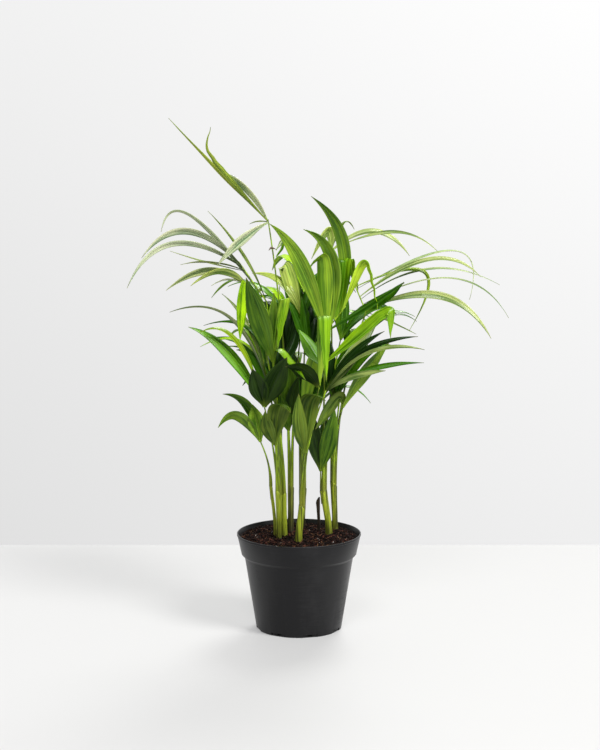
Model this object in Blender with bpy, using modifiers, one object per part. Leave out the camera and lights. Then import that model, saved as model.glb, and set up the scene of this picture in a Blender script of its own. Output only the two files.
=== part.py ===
"""A young areca palm in a round nursery pot.

The pot is a turned plastic shell and the soil a turned solid inside it. Ten clustered stems stand on the
soil. Each of them carries a few fronds, and a frond is one solid: a tapering stalk with thin leaflets fused
to its upper end. Leaflets that would touch something already grown swing aside, lift or shrink by a rule.
"""

import itertools
import math
import random
from typing import NamedTuple

import bmesh
import bpy
from mathutils import Vector
from mathutils.bvhtree import BVHTree

MM = 0.001
MERGE_WITHIN = 0.00001

POT_HEIGHT = 94.0
RIM_RADIUS = 60.0
FOOT_RADIUS = 41.4
COLLAR_HEIGHT = 20.5
COLLAR_FLARE = 4.5
COLLAR_STEP = 3.0
SHOULDER_HEIGHT = 2.5
POT_WALL = 1.3
RIM_ROUND = 0.5
FOOT_ROUND = 1.0
INSIDE_LIFT = 0.5
POT_SIDES = 48
DRAIN_SLOTS = 8
DRAIN_HEIGHT = 3.0
DRAIN_WIDTH = 15.0
DRAIN_DEPTH = 3.4
DRAIN_TURN = 0.35

SOIL_TOP = 91.0
SOIL_EDGE = 90.0
SOIL_FLAT_RADIUS = 46.0
SOIL_SHOULDER_LIFT = 1.0
SOIL_GAP = 0.6
SOIL_SIDES = 40
CLEARANCE = 0.3

STEM_BASE = 5.0
STEM_FOOT_SWELL = 1.12
STEM_NECK = 0.92
STEM_WAIST = 0.35
STALK_SIDES_SETTING = 1
STALK_POINTS = 5
STALK_KNEE = 0.5
STALK_FOOT_RADIUS = 1.1
RIB_END_RADIUS = 0.75
SHORT_BLADE = 60.0
SHORT_BLADE_SECTIONS = 5
LONG_BLADE_SECTIONS = 7
VERY_LONG_BLADE = 110.0
VERY_LONG_BLADE_SECTIONS = 9
CREASED_BLADE_SECTIONS = 8
STALK_END = 2.5
BLADE_ROOT_WIDTH = 0.16
SWELL_POWER = 1.4
TAPER_POWER = 1.0
WIDEST_AT = 0.5
CREASED_WIDEST_AT = 0.5
LEAST_THICKNESS = 1.2
THICKNESS_OF_LENGTH = 0.0105
VEE = 0.22
CREASED_VEE = 0.08
CURL = 14.0
AIR = 1.0

HEADING_NUDGES = (0, 6, -6, 12, -12, 18, -18, 25, -25)
LIFT_NUDGES = (0, 5, -5, 10, -10, 16)
WIDTH_FACTORS = (1.0, 0.8, 0.6)
SWING_COST = 1 / 6
LIFT_COST = 1 / 5
NARROWING_COST = 14


class Stem(NamedTuple):
    """A cane of rolled sheaths: where it stands, how tall and thick it is, and how far its top leans."""

    x: float
    y: float
    height: float
    radius: float
    lean_x: float = 0.0
    lean_y: float = 0.0


class Blade(NamedTuple):
    """One leaflet. Its middle line rises to a corner and runs on to its tip, the corner rounded."""

    heading: float
    reach: float
    rise: float
    crest: float
    at: float
    width: float
    ease: float = 1.0
    roll: float = 0.0
    start: float = 0.0


class Frond(NamedTuple):
    """A stalk from its stem's top to the hub where its leaflets start, and the rib beyond the hub."""

    stem: str
    hub: tuple
    blades: tuple
    rib: tuple = (0.0, 0.0, 0.0)
    bow: tuple = (0.0, 0.0)


STEMS = {
    "stem_1": Stem(-22.7, 2.0, 49, 1.5, -4.5, 0),
    "stem_2": Stem(-19.3, -6.6, 43, 2.3, -0.5, -1),
    "stem_3": Stem(-14.4, 1.5, 39, 3.0, -0.6, 0),
    "stem_4": Stem(-8.0, 18.0, 45, 2.9, 0, 1),
    "stem_5": Stem(-0.4, -22.0, 33, 3.3, 3.2, 0),
    "stem_6": Stem(3.0, 30.0, 41, 2.8, 1, 2),
    "stem_7": Stem(29.2, 9.0, 43, 3.0, -5.5, 0),
    "stem_8": Stem(35.2, 28.0, 45, 2.7, -1.5, 0),
    "stem_9": Stem(-19.5, 26.0, 41, 2.7, 0, -2),
    "stem_10": Stem(3.0, 41.0, 37, 2.8, 0, 2),
}

DRY_SHEATH = Stem(19.6, 22.0, 30, 1.3, -1.0, 0)

FRONDS = {
    "frond_01": Frond("stem_1", (-37, -2, 184), (
        Blade(190, 41, 15, 47, 0.57, 14, roll=50),
        Blade(184, 36, 47, 48, 0.15, 12, roll=50),
        Blade(205, 8, 37, 21, 0.62, 17, roll=70),
    )),
    "frond_02": Frond("stem_2", (-33, -12, 220), (
        Blade(186, 72, 78, 68, 0.45, 13, roll=-50),
        Blade(198, 64, 74, 97, 0.38, 8, roll=-40),
        Blade(240, 22, 40, 18, 0.35, 19, roll=30),
        Blade(310, 34, 52, 30, 0.5, 22, roll=-40),
    ), bow=(-3, 1)),
    "frond_03": Frond("stem_3", (-30, 3, 238), (
        Blade(160, 46, 82, 60, 0.25, 6, roll=-30, start=0.2),
        Blade(176, 94, 70, 98, 0.28, 7, roll=35),
        Blade(168, 59, 33, 53, 0.09, 6, roll=-30, start=1.0),
    ), rib=(-4, 2, 23), bow=(-3, 3)),
    "frond_04": Frond("stem_3", (-31, -2, 320), (
        Blade(168, 103, 64, 127, 0.89, 9, roll=45),
        Blade(150, 65, 83, 47, 0.3, 5, roll=-40),
        Blade(190, 95, 9, 64, 0.59, 11, roll=55, start=0.95),
        Blade(200, 114, -15, 59, 0.71, 10, roll=50, start=0.9),
        Blade(165, 75, 17, 7, 0.5, 5, start=0.8),
        Blade(195, 63, 8, 16, 0.5, 6, roll=30, start=0.8),
    ), rib=(-25, 2, 36), bow=(-2, 3)),
    "frond_05": Frond("stem_3", (-48, -10, 335), (
        Blade(188, 78, -2, 35, 0.44, 11, roll=50),
        Blade(205, 59, 4, 32, 0.43, 9, roll=45),
        Blade(225, 11, -50, 7, 0.6, 10, ease=0.2, roll=-40),
        Blade(180, 35, 1, 15, 0.48, 5, roll=20),
    ), bow=(-3, -6)),
    "frond_06": Frond("stem_4", (-29, 5, 395), (
        Blade(178, 94, 98, 61, 0.63, 7, roll=50),
        Blade(170, 46, 48, 36, 0.36, 10, roll=60),
        Blade(184, 54, 90, 68, 1.11, 7, ease=0.3, roll=60),
        Blade(200, 51, -39, -12, 0.57, 11, roll=65),
        Blade(150, 21, -3, 3, 0.55, 5),
    )),
    "frond_07": Frond("stem_7", (25, -6, 291), (
        Blade(218, 67, 108, 88, 0.42, 15, roll=45),
        Blade(212, 31, 93, 79, -0.57, 13.5, roll=45, start=0.3),
        Blade(225, 32, 120, 81, -1.24, 12.5, roll=40, start=0.5),
        Blade(215, 29, 56, 75, 0.13, 15, ease=0.25, roll=45, start=0.1),
        Blade(75, 28, 21, 61, 0.21, 12, ease=0.25, start=0.6),
        Blade(50, 26, 18, 56, 0.31, 12, ease=0.25, start=0.85),
        Blade(335, 37, 2, 57, 0.67, 10, ease=0.35, roll=-50, start=0.9),
        Blade(345, 77, 50, 38, 0.73, 9, roll=40),
    ), rib=(18, 2, 23)),
    "frond_08": Frond("stem_5", (19, -26, 241), (
        Blade(285, 26, 10, 79, 0.73, 12.5, ease=0.2),
        Blade(348, 63, 26, 58, 1.01, 14, ease=0.3, roll=50, start=1.0),
        Blade(150, 27, 35, 25, 0.7, 13, roll=-50, start=0.8),
        Blade(200, 34, 22, 26, 0.4, 21, roll=40),
    ), rib=(5, -4, 24)),
    "frond_09": Frond("stem_2", (-24, -10, 251), (
        Blade(320, 6, 7, 66, 2.93, 14, ease=0.3, start=0.85),
        Blade(228, 37, 84, 58, 0.69, 20, roll=40, start=0.6),
        Blade(320, 40, -7, 24, 0.1, 10, ease=0.4, roll=10, start=0.3),
        Blade(60, 34, 48, 25, 0.95, 14),
        Blade(275, 14, 68, 44, 0.43, 12, roll=-10, start=0.6),
    ), rib=(-1, -3, 21), bow=(0, -3)),
    "frond_10": Frond("stem_4", (3, 22, 297), (
        Blade(150, 26, 25, 61, 0.77, 15, ease=0.3, roll=-40),
        Blade(170, 49, 46, 49, 0.18, 9, roll=-45),
        Blade(55, 39, 44, 50, 0.35, 12),
    )),
    "frond_11": Frond("stem_8", (64, 4, 309), (
        Blade(4, 52, -43, 49, 2.07, 8, roll=30, start=1.0),
        Blade(10, 111, -13, 77, 1.23, 5, roll=30, start=0.9),
        Blade(352, 115, 21, 65, 0.66, 10, roll=40, start=0.6),
        Blade(12, 138, 10, 51, 0.49, 5, roll=30, start=0.5),
        Blade(345, 141, -8, 61, 0.72, 5, roll=30, start=0.3),
        Blade(350, 121, -25, 43, 0.7, 12, roll=50, start=0.1),
        Blade(335, 39, 31, 16, 0.55, 12, roll=50),
        Blade(20, 52, -24, -10, 0.55, 5, roll=30),
    ), rib=(-10, 4, 24)),
    "frond_12": Frond("stem_8", (31, 30, 365), (
        Blade(5, 76, -6, 41, 0.6, 12, roll=45),
        Blade(350, 104, 0, 39, 0.65, 7, roll=35),
        Blade(205, 21, -7, 44, -0.1, 12, roll=50),
        Blade(30, 26, 19, 43, 0.55, 5),
        Blade(95, 50, -15, 16, 0.5, 10),
    )),
    "frond_13": Frond("stem_5", (25, -14, 234), (
        Blade(338, 61, 25, 21, 0.32, 9, roll=40),
        Blade(352, 94, 31, 31, 0.33, 7, roll=40),
        Blade(8, 57, 58, 42, 0.34, 9, roll=40),
        Blade(0, 88, 54, 53, 0.29, 8, roll=40),
        Blade(346, 96, 45, 59, 0.36, 7, roll=30),
        Blade(25, 56, 65, 43, 0.6, 14, roll=40),
    )),
    "frond_14": Frond("stem_8", (42, 0, 217), (
        Blade(338, 47, 71, 37, 0.35, 13, roll=-50),
        Blade(212, 31, -18, 30, -0.05, 16, roll=78),
    )),
    "frond_15": Frond("stem_5", (6, -31, 179), (
        Blade(250, 18, 60, 32, 1.4, 14, roll=30),
        Blade(300, 38, 56, 74, -0.15, 21, roll=-30),
    )),
    "frond_16": Frond("stem_7", (21, 4, 154), (
        Blade(240, 18, 62, 40, 0.8, 16, roll=30),
        Blade(305, 23, 75, 43, 0.65, 16, roll=-35),
    ), bow=(-1, 0)),
    "frond_17": Frond("stem_4", (-10, 12, 192), (
        Blade(235, 15, 49, 23, 0.6, 13, roll=30),
        Blade(310, 15, 56, 28, 0.1, 13, roll=-40),
        Blade(270, 10, 74, 44, 0.3, 18),
    )),
    "frond_18": Frond("stem_2", (-23, -22, 185), (
        Blade(290, 45, 39, 59, 0.15, 21, roll=-20),
        Blade(215, 11, 34, 17, 0.86, 14, roll=40),
    ), bow=(0, -3)),
    "frond_19": Frond("stem_9", (-20, 8, 214), (
        Blade(100, 16, 54, 36, 0.5, 20),
        Blade(165, 42, 56, 60, 0.4, 14, roll=-60),
        Blade(75, 26, 88, 60, 0.3, 17, roll=40),
    )),
    "frond_20": Frond("stem_6", (4, 10, 204), (
        Blade(80, 14, 62, 40, 0.5, 18, roll=10),
        Blade(135, 32, 66, 50, 0.4, 15, roll=-50),
        Blade(35, 34, 64, 50, 0.4, 19, roll=50),
        Blade(340, 26, 92, 56, 0.2, 15, roll=-60),
    )),
    "frond_21": Frond("stem_6", (11, 14, 262), (
        Blade(100, 16, 64, 42, 0.5, 19),
        Blade(30, 30, 60, 44, 0.4, 14, roll=40),
        Blade(150, 30, 40, 50, 0.5, 13, roll=-30),
    )),
    "frond_22": Frond("stem_7", (34, 6, 222), (
        Blade(60, 24, 64, 46, 0.4, 16, roll=20),
        Blade(15, 56, 54, 60, 0.4, 13, roll=50),
        Blade(98, 24, 60, 46, 0.4, 13),
    )),
    "frond_23": Frond("stem_7", (40, 18, 280), (
        Blade(80, 20, 52, 38, 0.5, 14),
        Blade(20, 58, 22, 50, 0.5, 12, roll=40),
        Blade(120, 40, 40, 50, 0.5, 13, roll=-20),
    )),
    "frond_24": Frond("stem_9", (-15, 26, 256), (
        Blade(110, 18, 52, 38, 0.5, 14),
        Blade(60, 30, 58, 50, 0.4, 13, roll=20),
        Blade(126, 36, 40, 44, 0.4, 10, roll=-40),
    )),
}

# The fronds that the front view hides: their stem, heading, hub height and number of leaflets.
BACK_FRONDS = {
    "frond_25": ("stem_6", 120, 214, 4),
    "frond_26": ("stem_6", 62, 262, 5),
    "frond_27": ("stem_10", 118, 282, 5),
    "frond_28": ("stem_9", 132, 236, 4),
    "frond_29": ("stem_8", 56, 250, 4),
    "frond_30": ("stem_10", 80, 300, 5),
    "frond_31": ("stem_9", 104, 270, 3),
    "frond_32": ("stem_10", 48, 190, 3),
}
BACK_SEED = 7
BACK_LEAN = 0.10
BACK_FAN = 88.0
BACK_RIB_OUT = 6.0
BACK_RIB_UP = 14.0
BACK_REACH = (56, 88)
BACK_RISE = (0.0, 0.5)
BACK_CREST = (0.65, 0.9)
BACK_CORNER = (0.35, 0.55)
BACK_WIDTH = (10, 14)
BACK_SCATTER = 6.0


def back_frond(stem_name, heading, height, count, chance):
    """A frond by the rule that the plant shows, its leaflets fanned about the frond's heading."""
    cane = STEMS[stem_name]
    lean = BACK_LEAN * (height - SOIL_TOP)
    out = direction(heading)
    hub = (cane.x + out.x * lean, cane.y + out.y * lean, float(height))
    rib = (out.x * BACK_RIB_OUT, out.y * BACK_RIB_OUT, BACK_RIB_UP)
    blades = []
    for number in range(count):
        share = number / (count - 1)
        reach = chance.uniform(*BACK_REACH)
        blades.append(Blade(
            heading=heading + BACK_FAN * (share - 0.5) + chance.uniform(-BACK_SCATTER, BACK_SCATTER),
            reach=reach,
            rise=chance.uniform(*BACK_RISE) * reach,
            crest=chance.uniform(*BACK_CREST) * reach,
            at=chance.uniform(*BACK_CORNER),
            width=chance.uniform(*BACK_WIDTH),
            start=abs(2 * share - 1),
        ))
    return Frond(stem_name, hub, tuple(blades), rib=rib)


def mesh_object(name, mesh, collection):
    made = bpy.data.objects.new(name, mesh)
    collection.objects.link(made)
    return made


def new_collection(name):
    collection = bpy.data.collections.new(name)
    bpy.context.scene.collection.children.link(collection)
    return collection


def material(name, colour, roughness, metallic=0.0):
    made = bpy.data.materials.new(name)
    made.use_nodes = True
    shader = made.node_tree.nodes["Principled BSDF"]
    shader.inputs["Base Color"].default_value = (*colour, 1.0)
    shader.inputs["Roughness"].default_value = roughness
    shader.inputs["Metallic"].default_value = metallic
    return made


def direction(heading):
    angle = math.radians(heading)
    return Vector((math.cos(angle), math.sin(angle), 0.0))


def spread_along(points, count, curl=0.0):
    """Points spread along the line, each with its share of the length. A curl draws them to the bends."""
    steps = [b - a for a, b in zip(points, points[1:])]
    lengths = [step.length for step in steps]
    turns = [0.0] + [a.angle(b, 0.0) for a, b in zip(steps, steps[1:])]
    weights = [length + curl * turn for length, turn in zip(lengths, turns)]
    total, whole = sum(weights), sum(lengths)
    result = [(0.0, points[0].copy())]
    index, passed, gone = 0, 0.0, 0.0
    for number in range(1, count):
        wanted = total * number / count
        while passed + weights[index] < wanted:
            passed += weights[index]
            gone += lengths[index]
            index += 1
        share = (wanted - passed) / weights[index]
        place = points[index].lerp(points[index + 1], share)
        result.append(((gone + share * lengths[index]) / whole, place))
    result.append((1.0, points[-1].copy()))
    return result


def rounded_corner(start, corner, end, ease, samples=40):
    """From start past the corner to the end. An ease of 1 makes one arc of it, and a small one a crease."""
    before = corner.lerp(start, ease)
    after = corner.lerp(end, ease)
    arc = [
        before.lerp(corner, t / samples).lerp(corner.lerp(after, t / samples), t / samples)
        for t in range(samples + 1)
    ]
    head = [start] if ease < 1 else []
    tail = [end] if ease < 1 else []
    return head + arc + tail


def blade_width(t, widest=WIDEST_AT):
    """Share of the full width at t along the blade: a narrow root, a full middle and a drawn-out tip."""
    if t < widest:
        swell = math.sin(math.pi / 2 * t / widest) ** SWELL_POWER
        return BLADE_ROOT_WIDTH + (1 - BLADE_ROOT_WIDTH) * swell
    return max(0.0, math.cos(math.pi / 2 * (t - widest) / (1 - widest))) ** TAPER_POWER


def widest_at(blade):
    """A creased leaflet keeps its width as far as the crease."""
    return WIDEST_AT if blade.ease == 1 else CREASED_WIDEST_AT


def blade_line(blade, root, sections):
    out = direction(blade.heading)
    corner = root + out * (blade.at * blade.reach) + Vector((0, 0, blade.crest))
    tip = root + out * blade.reach + Vector((0, 0, blade.rise))
    return spread_along(rounded_corner(root, corner, tip, blade.ease), sections, CURL)


def blade_sections(blade):
    if blade.ease < 1:
        return CREASED_BLADE_SECTIONS
    span = math.hypot(blade.reach, blade.crest)
    if span > VERY_LONG_BLADE:
        return VERY_LONG_BLADE_SECTIONS
    return SHORT_BLADE_SECTIONS if span < SHORT_BLADE else LONG_BLADE_SECTIONS


def blade_mesh(blade, root, extra=0.0):
    """The blade as one closed shape of four-cornered sections: two edges, a rib on top and a keel below."""
    sections = blade_sections(blade)
    shares, line = zip(*blade_line(blade, root, sections))
    length = sum((b - a).length for a, b in zip(line, line[1:]))
    thickness = max(LEAST_THICKNESS, THICKNESS_OF_LENGTH * length) + extra
    vee = VEE if blade.ease == 1 else CREASED_VEE
    level = direction(blade.heading + 90)
    roll = math.radians(blade.roll)
    shape = bmesh.new()
    rings = []
    for number, point in enumerate(line[:-1]):
        ahead = (line[number + 1] - line[max(number - 1, 0)]).normalized()
        up = ahead.cross(level)
        side = level * math.cos(roll) + up * math.sin(roll)
        over = ahead.cross(side)
        half = (blade.width * blade_width(shares[number], widest_at(blade)) + extra) / 2
        drop = over * (vee * half)
        corners = (
            point + side * half - drop,
            point + over * (thickness / 2),
            point - side * half - drop,
            point - over * (thickness / 2),
        )
        rings.append([shape.verts.new(corner * MM) for corner in corners])
    for ring, following in zip(rings, rings[1:]):
        for number in range(4):
            after = (number + 1) % 4
            shape.faces.new((ring[number], ring[after], following[after], following[number]))
    tip = shape.verts.new(line[-1] * MM)
    for number in range(4):
        shape.faces.new((rings[-1][number], rings[-1][(number + 1) % 4], tip))
    shape.faces.new(rings[0][::-1])
    if shape.calc_volume(signed=True) < 0:
        bmesh.ops.reverse_faces(shape, faces=shape.faces)
    bmesh.ops.triangulate(shape, faces=shape.faces)
    mesh = bpy.data.meshes.new("blade")
    shape.to_mesh(mesh)
    shape.free()
    return mesh


def tube(name, points, radii, collection):
    """A round limb along the points, as a closed mesh, made from a curve with a bevel."""
    curve = bpy.data.curves.new(name, "CURVE")
    curve.dimensions = "3D"
    curve.bevel_depth = MM
    curve.bevel_resolution = STALK_SIDES_SETTING
    curve.use_fill_caps = True
    curve.twist_mode = "MINIMUM"
    spline = curve.splines.new("POLY")
    spline.points.add(len(points) - 1)
    for place, point, radius in zip(spline.points, points, radii):
        place.co = (*(point * MM), 1.0)
        place.radius = radius
    guide = mesh_object(name + "_guide", curve, collection)
    bpy.context.view_layer.update()
    mesh = bpy.data.meshes.new_from_object(guide.evaluated_get(bpy.context.evaluated_depsgraph_get()))
    bpy.data.objects.remove(guide)
    shape = bmesh.new()
    shape.from_mesh(mesh)
    bmesh.ops.remove_doubles(shape, verts=shape.verts, dist=MERGE_WITHIN)
    bmesh.ops.recalc_face_normals(shape, faces=shape.faces)
    shape.to_mesh(mesh)
    shape.free()
    return mesh_object(name, mesh, collection)


def turned(name, profile, sides, collection):
    """A profile in the XZ plane, turned round the Z axis and closed where it meets the axis."""
    shape = bmesh.new()
    corners = [shape.verts.new((radius * MM, 0, height * MM)) for radius, height in profile]
    for a, b in zip(corners, corners[1:]):
        shape.edges.new((a, b))
    mesh = bpy.data.meshes.new(name)
    shape.to_mesh(mesh)
    shape.free()
    made = mesh_object(name, mesh, collection)
    screw = made.modifiers.new("turn", "SCREW")
    screw.steps = sides
    screw.render_steps = sides
    screw.use_merge_vertices = True
    screw.merge_threshold = MERGE_WITHIN
    screw.use_smooth_shade = True
    return made


def pot(collection, cutters):
    """The shell from the rim's outer edge down to the foot, under it, and up again on the inside."""
    collar_foot = POT_HEIGHT - COLLAR_HEIGHT
    collar_radius = RIM_RADIUS - COLLAR_FLARE
    neck_radius = collar_radius - COLLAR_STEP
    neck_height = collar_foot - SHOULDER_HEIGHT
    profile = (
        (RIM_RADIUS - POT_WALL, POT_HEIGHT),
        (RIM_RADIUS - RIM_ROUND, POT_HEIGHT),
        (RIM_RADIUS, POT_HEIGHT - RIM_ROUND),
        (collar_radius, collar_foot),
        (neck_radius, neck_height),
        (FOOT_RADIUS, FOOT_ROUND),
        (FOOT_RADIUS - FOOT_ROUND, 0.0),
        (0.0, 0.0),
        (0.0, POT_WALL),
        (FOOT_RADIUS - POT_WALL, POT_WALL),
        (neck_radius - POT_WALL, neck_height + INSIDE_LIFT),
        (collar_radius - POT_WALL, collar_foot + INSIDE_LIFT),
        (RIM_RADIUS - POT_WALL, POT_HEIGHT),
    )
    made = turned("pot", profile, POT_SIDES, collection)
    for number in range(DRAIN_SLOTS):
        bpy.ops.mesh.primitive_cube_add(size=1)
        cutter = bpy.context.object
        cutter.name = f"drain_slot_{number + 1}"
        angle = math.tau * (number + DRAIN_TURN) / DRAIN_SLOTS
        out = Vector((math.cos(angle), math.sin(angle), 0.0))
        cutter.location = out * (FOOT_RADIUS * MM)
        cutter.rotation_euler = (0.0, 0.0, angle)
        cutter.scale = (DRAIN_DEPTH * MM, DRAIN_WIDTH * MM, 2 * DRAIN_HEIGHT * MM)
        for home in cutter.users_collection:
            home.objects.unlink(cutter)
        cutters.objects.link(cutter)
        cutter.hide_render = True
        cutter.display_type = "WIRE"
        cut = made.modifiers.new(cutter.name, "BOOLEAN")
        cut.operation = "DIFFERENCE"
        cut.object = cutter
    return made


def soil(collection):
    """The root ball that fills the pot, clear of its wall, with a level top for the stems."""
    gap = POT_WALL + SOIL_GAP
    collar_foot = POT_HEIGHT - COLLAR_HEIGHT
    collar_radius = RIM_RADIUS - COLLAR_FLARE
    neck_radius = collar_radius - COLLAR_STEP
    edge_share = (SOIL_EDGE - collar_foot) / COLLAR_HEIGHT
    profile = (
        (0.0, SOIL_TOP),
        (SOIL_FLAT_RADIUS, SOIL_TOP),
        (collar_radius + COLLAR_FLARE * edge_share - gap, SOIL_EDGE),
        (collar_radius - gap, collar_foot + SOIL_SHOULDER_LIFT),
        (neck_radius - gap, collar_foot - SHOULDER_HEIGHT),
        (FOOT_RADIUS - gap - DRAIN_DEPTH, POT_WALL + CLEARANCE),
        (0.0, POT_WALL + CLEARANCE),
    )
    return turned("soil", profile, SOIL_SIDES, collection)


def stem_top(stem):
    return Vector((stem.x + stem.lean_x, stem.y + stem.lean_y, SOIL_TOP + stem.height))


def stem(name, cane, collection):
    foot = Vector((cane.x, cane.y, SOIL_TOP + CLEARANCE))
    top = stem_top(cane)
    base = foot + Vector((0, 0, STEM_BASE))
    waist = foot.lerp(top, STEM_WAIST)
    swollen = cane.radius * STEM_FOOT_SWELL
    radii = (swollen, swollen, cane.radius, cane.radius * STEM_NECK)
    return tube(name, (foot, base, waist, top), radii, collection)


def stalk_line(frond, seat, count):
    """From the stem's top, upright at first, to the hub, and on along the rib."""
    hub = Vector(frond.hub)
    bow = Vector((frond.bow[0], frond.bow[1], 0.0))
    knee = Vector((seat.x, seat.y, seat.z + STALK_KNEE * (hub.z - seat.z))) + bow
    line = [point for _, point in spread_along(rounded_corner(seat, knee, hub, 1.0), count)]
    rib = Vector(frond.rib)
    if rib.length > 0:
        line.append(hub + rib + rib.normalized() * STALK_END)
    else:
        line[-1] = hub + (hub - line[-2]).normalized() * STALK_END
    return line


def seats(fronds, stems):
    """Each frond's place on its stem's top: side by side round the middle, turned to its own hub."""
    places = {}
    for name, cane in stems.items():
        own = [key for key in fronds if fronds[key].stem == name]
        top = stem_top(cane) + Vector((0, 0, CLEARANCE))
        if len(own) == 1:
            places[own[0]] = top
            continue
        away = {key: math.atan2(fronds[key].hub[1] - top.y, fronds[key].hub[0] - top.x) for key in own}
        own.sort(key=away.get)
        turns = [away[key] - math.tau * number / len(own) for number, key in enumerate(own)]
        first = math.atan2(sum(map(math.sin, turns)), sum(map(math.cos, turns)))
        spread = (STALK_FOOT_RADIUS + CLEARANCE / 2) / math.sin(math.pi / len(own))
        for number, key in enumerate(own):
            angle = first + math.tau * number / len(own)
            places[key] = top + Vector((math.cos(angle), math.sin(angle), 0)) * spread
    return places


def tree_of(meshes):
    """One search tree of the triangles of all these meshes."""
    corners, faces = [], []
    for mesh in meshes:
        first = len(corners)
        corners += [vertex.co.copy() for vertex in mesh.vertices]
        faces += [[first + index for index in face.vertices] for face in mesh.polygons]
    return BVHTree.FromPolygons(corners, faces)


def cost(nudge):
    """How far this nudge takes a leaflet from what the table says, so that the least one is tried first."""
    swing, lift, factor = nudge
    return abs(swing) * SWING_COST + abs(lift) * LIFT_COST + (1 - factor) * NARROWING_COST


def clear_blade(blade, root, tree):
    """The blade as it is, or swung, lifted or narrowed until it clears the rest, or None."""
    nudges = itertools.product(HEADING_NUDGES, LIFT_NUDGES, WIDTH_FACTORS)
    for swing, lift, factor in sorted(nudges, key=cost):
        moved = blade._replace(
            heading=blade.heading + swing,
            crest=blade.crest + lift,
            rise=blade.rise + lift,
            width=blade.width * factor,
        )
        probe = blade_mesh(moved, root, extra=AIR)
        free = not tree_of([probe]).overlap(tree)
        bpy.data.meshes.remove(probe)
        if free:
            return moved
    return None


def keep_largest_island(mesh):
    """Keeps the one solid that a union should leave. Loose scraps and walls of sealed hollows go."""
    shape = bmesh.new()
    shape.from_mesh(mesh)
    left = set(shape.verts)
    islands = []
    while left:
        island, edge = set(), [left.pop()]
        while edge:
            corner = edge.pop()
            island.add(corner)
            for line in corner.link_edges:
                other = line.other_vert(corner)
                if other in left:
                    left.discard(other)
                    edge.append(other)
        islands.append(island)
    islands.sort(key=len)
    for scrap in islands[:-1]:
        bmesh.ops.delete(shape, geom=list(scrap), context="VERTS")
    shape.to_mesh(mesh)
    shape.free()
    return [len(island) for island in islands[:-1]]


def fuse(name, pieces, collection, holder):
    """One solid of the stalk and its blades, by a single Boolean union on their collection."""
    stalk = pieces[0]
    union = stalk.modifiers.new("fuse", "BOOLEAN")
    union.operation = "UNION"
    union.solver = "MANIFOLD"
    union.operand_type = "COLLECTION"
    union.collection = holder
    bpy.context.view_layer.update()
    graph = bpy.context.evaluated_depsgraph_get()
    mesh = bpy.data.meshes.new_from_object(stalk.evaluated_get(graph))
    scraps = keep_largest_island(mesh)
    if scraps:
        print(name, "dropped loose scraps of", scraps, "corners")
    made = mesh_object(name, mesh, collection)
    for piece in pieces:
        bpy.data.objects.remove(piece)
    return made


def grow(fronds, stems, standing, collection):
    """All the fronds. The stalks come first, and then each blade in turn, clear of what already stands."""
    places = seats(fronds, stems)
    helper = new_collection("helpers")
    stalks = {}
    for name, frond in fronds.items():
        line = stalk_line(frond, places[name], STALK_POINTS)
        last = len(line) - 1
        taper = RIB_END_RADIUS - STALK_FOOT_RADIUS
        radii = [STALK_FOOT_RADIUS + taper * number / last for number in range(last + 1)]
        stalks[name] = tube(name + "_stalk", line, radii, helper)
    blades = {name: [] for name in fronds}
    skipped = []
    for name, frond in fronds.items():
        for number, blade in enumerate(frond.blades):
            root = Vector(frond.hub) + Vector(frond.rib) * blade.start
            others = [stalks[other].data for other in fronds if other != name]
            others += [mesh for other in fronds if other != name for mesh in blades[other]]
            moved = clear_blade(blade, root, tree_of(others + standing))
            if moved is None:
                skipped.append(f"{name}/{number}")
                continue
            blades[name].append(blade_mesh(moved, root))
    print("blades grown:", sum(map(len, blades.values())), "skipped:", skipped)
    for name in fronds:
        holder = new_collection(name + "_blades")
        pieces = [stalks[name]]
        for number, mesh in enumerate(blades[name]):
            pieces.append(mesh_object(f"{name}_blade_{number + 1}", mesh, holder))
        fuse(name, pieces, collection, holder)
        bpy.data.collections.remove(holder)
    bpy.data.collections.remove(helper)


def all_fronds():
    chance = random.Random(BACK_SEED)
    fronds = dict(FRONDS)
    for name, (stem_name, heading, height, count) in BACK_FRONDS.items():
        fronds[name] = back_frond(stem_name, heading, height, count, chance)
    return fronds


def main():
    for old in list(bpy.data.objects):
        bpy.data.objects.remove(old)
    collection = new_collection("potted_areca_palm")
    cutters = new_collection("cutters")
    pot_object = pot(collection, cutters)
    soil_object = soil(collection)
    canes = [stem(name, cane, collection) for name, cane in STEMS.items()]
    canes.append(stem("dry_sheath", DRY_SHEATH, collection))
    bpy.context.view_layer.update()
    graph = bpy.context.evaluated_depsgraph_get()
    made_so_far = [pot_object, soil_object, *canes]
    standing = [bpy.data.meshes.new_from_object(made.evaluated_get(graph)) for made in made_so_far]
    grow(all_fronds(), STEMS, standing, collection)
    for mesh in standing:
        bpy.data.meshes.remove(mesh)
    looks = {
        "pot": material("black plastic", (0.013, 0.013, 0.014), 0.42),
        "soil": material("moist soil", (0.035, 0.018, 0.010), 0.95),
        "stem": material("stem green", (0.16, 0.24, 0.035), 0.5),
        "dry": material("dry sheath brown", (0.020, 0.012, 0.006), 0.8),
        "frond": material("leaf green", (0.075, 0.24, 0.012), 0.4),
    }
    for made in collection.objects:
        made.data.materials.clear()
        made.data.materials.append(looks[made.name.split("_")[0]])


main()
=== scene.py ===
# %% [markdown]
# # A young areca palm in a nursery pot
# The plant is a clump of slim stems. Each one sends up stalks, and each stalk ends in a few arching leaflets.
# This notebook dresses its measured model: smooth pleated leaflets, sheathed stems, loose soil and satin plastic.
# Lengths in the tables are millimetres, and one factor turns them into metres where a mesh is made.

# %% Load the measured model
import itertools
import math
import random
from typing import NamedTuple

import bmesh
import bpy
import numpy as np
from mathutils import Matrix, Vector, noise
from mathutils.bvhtree import BVHTree


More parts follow.
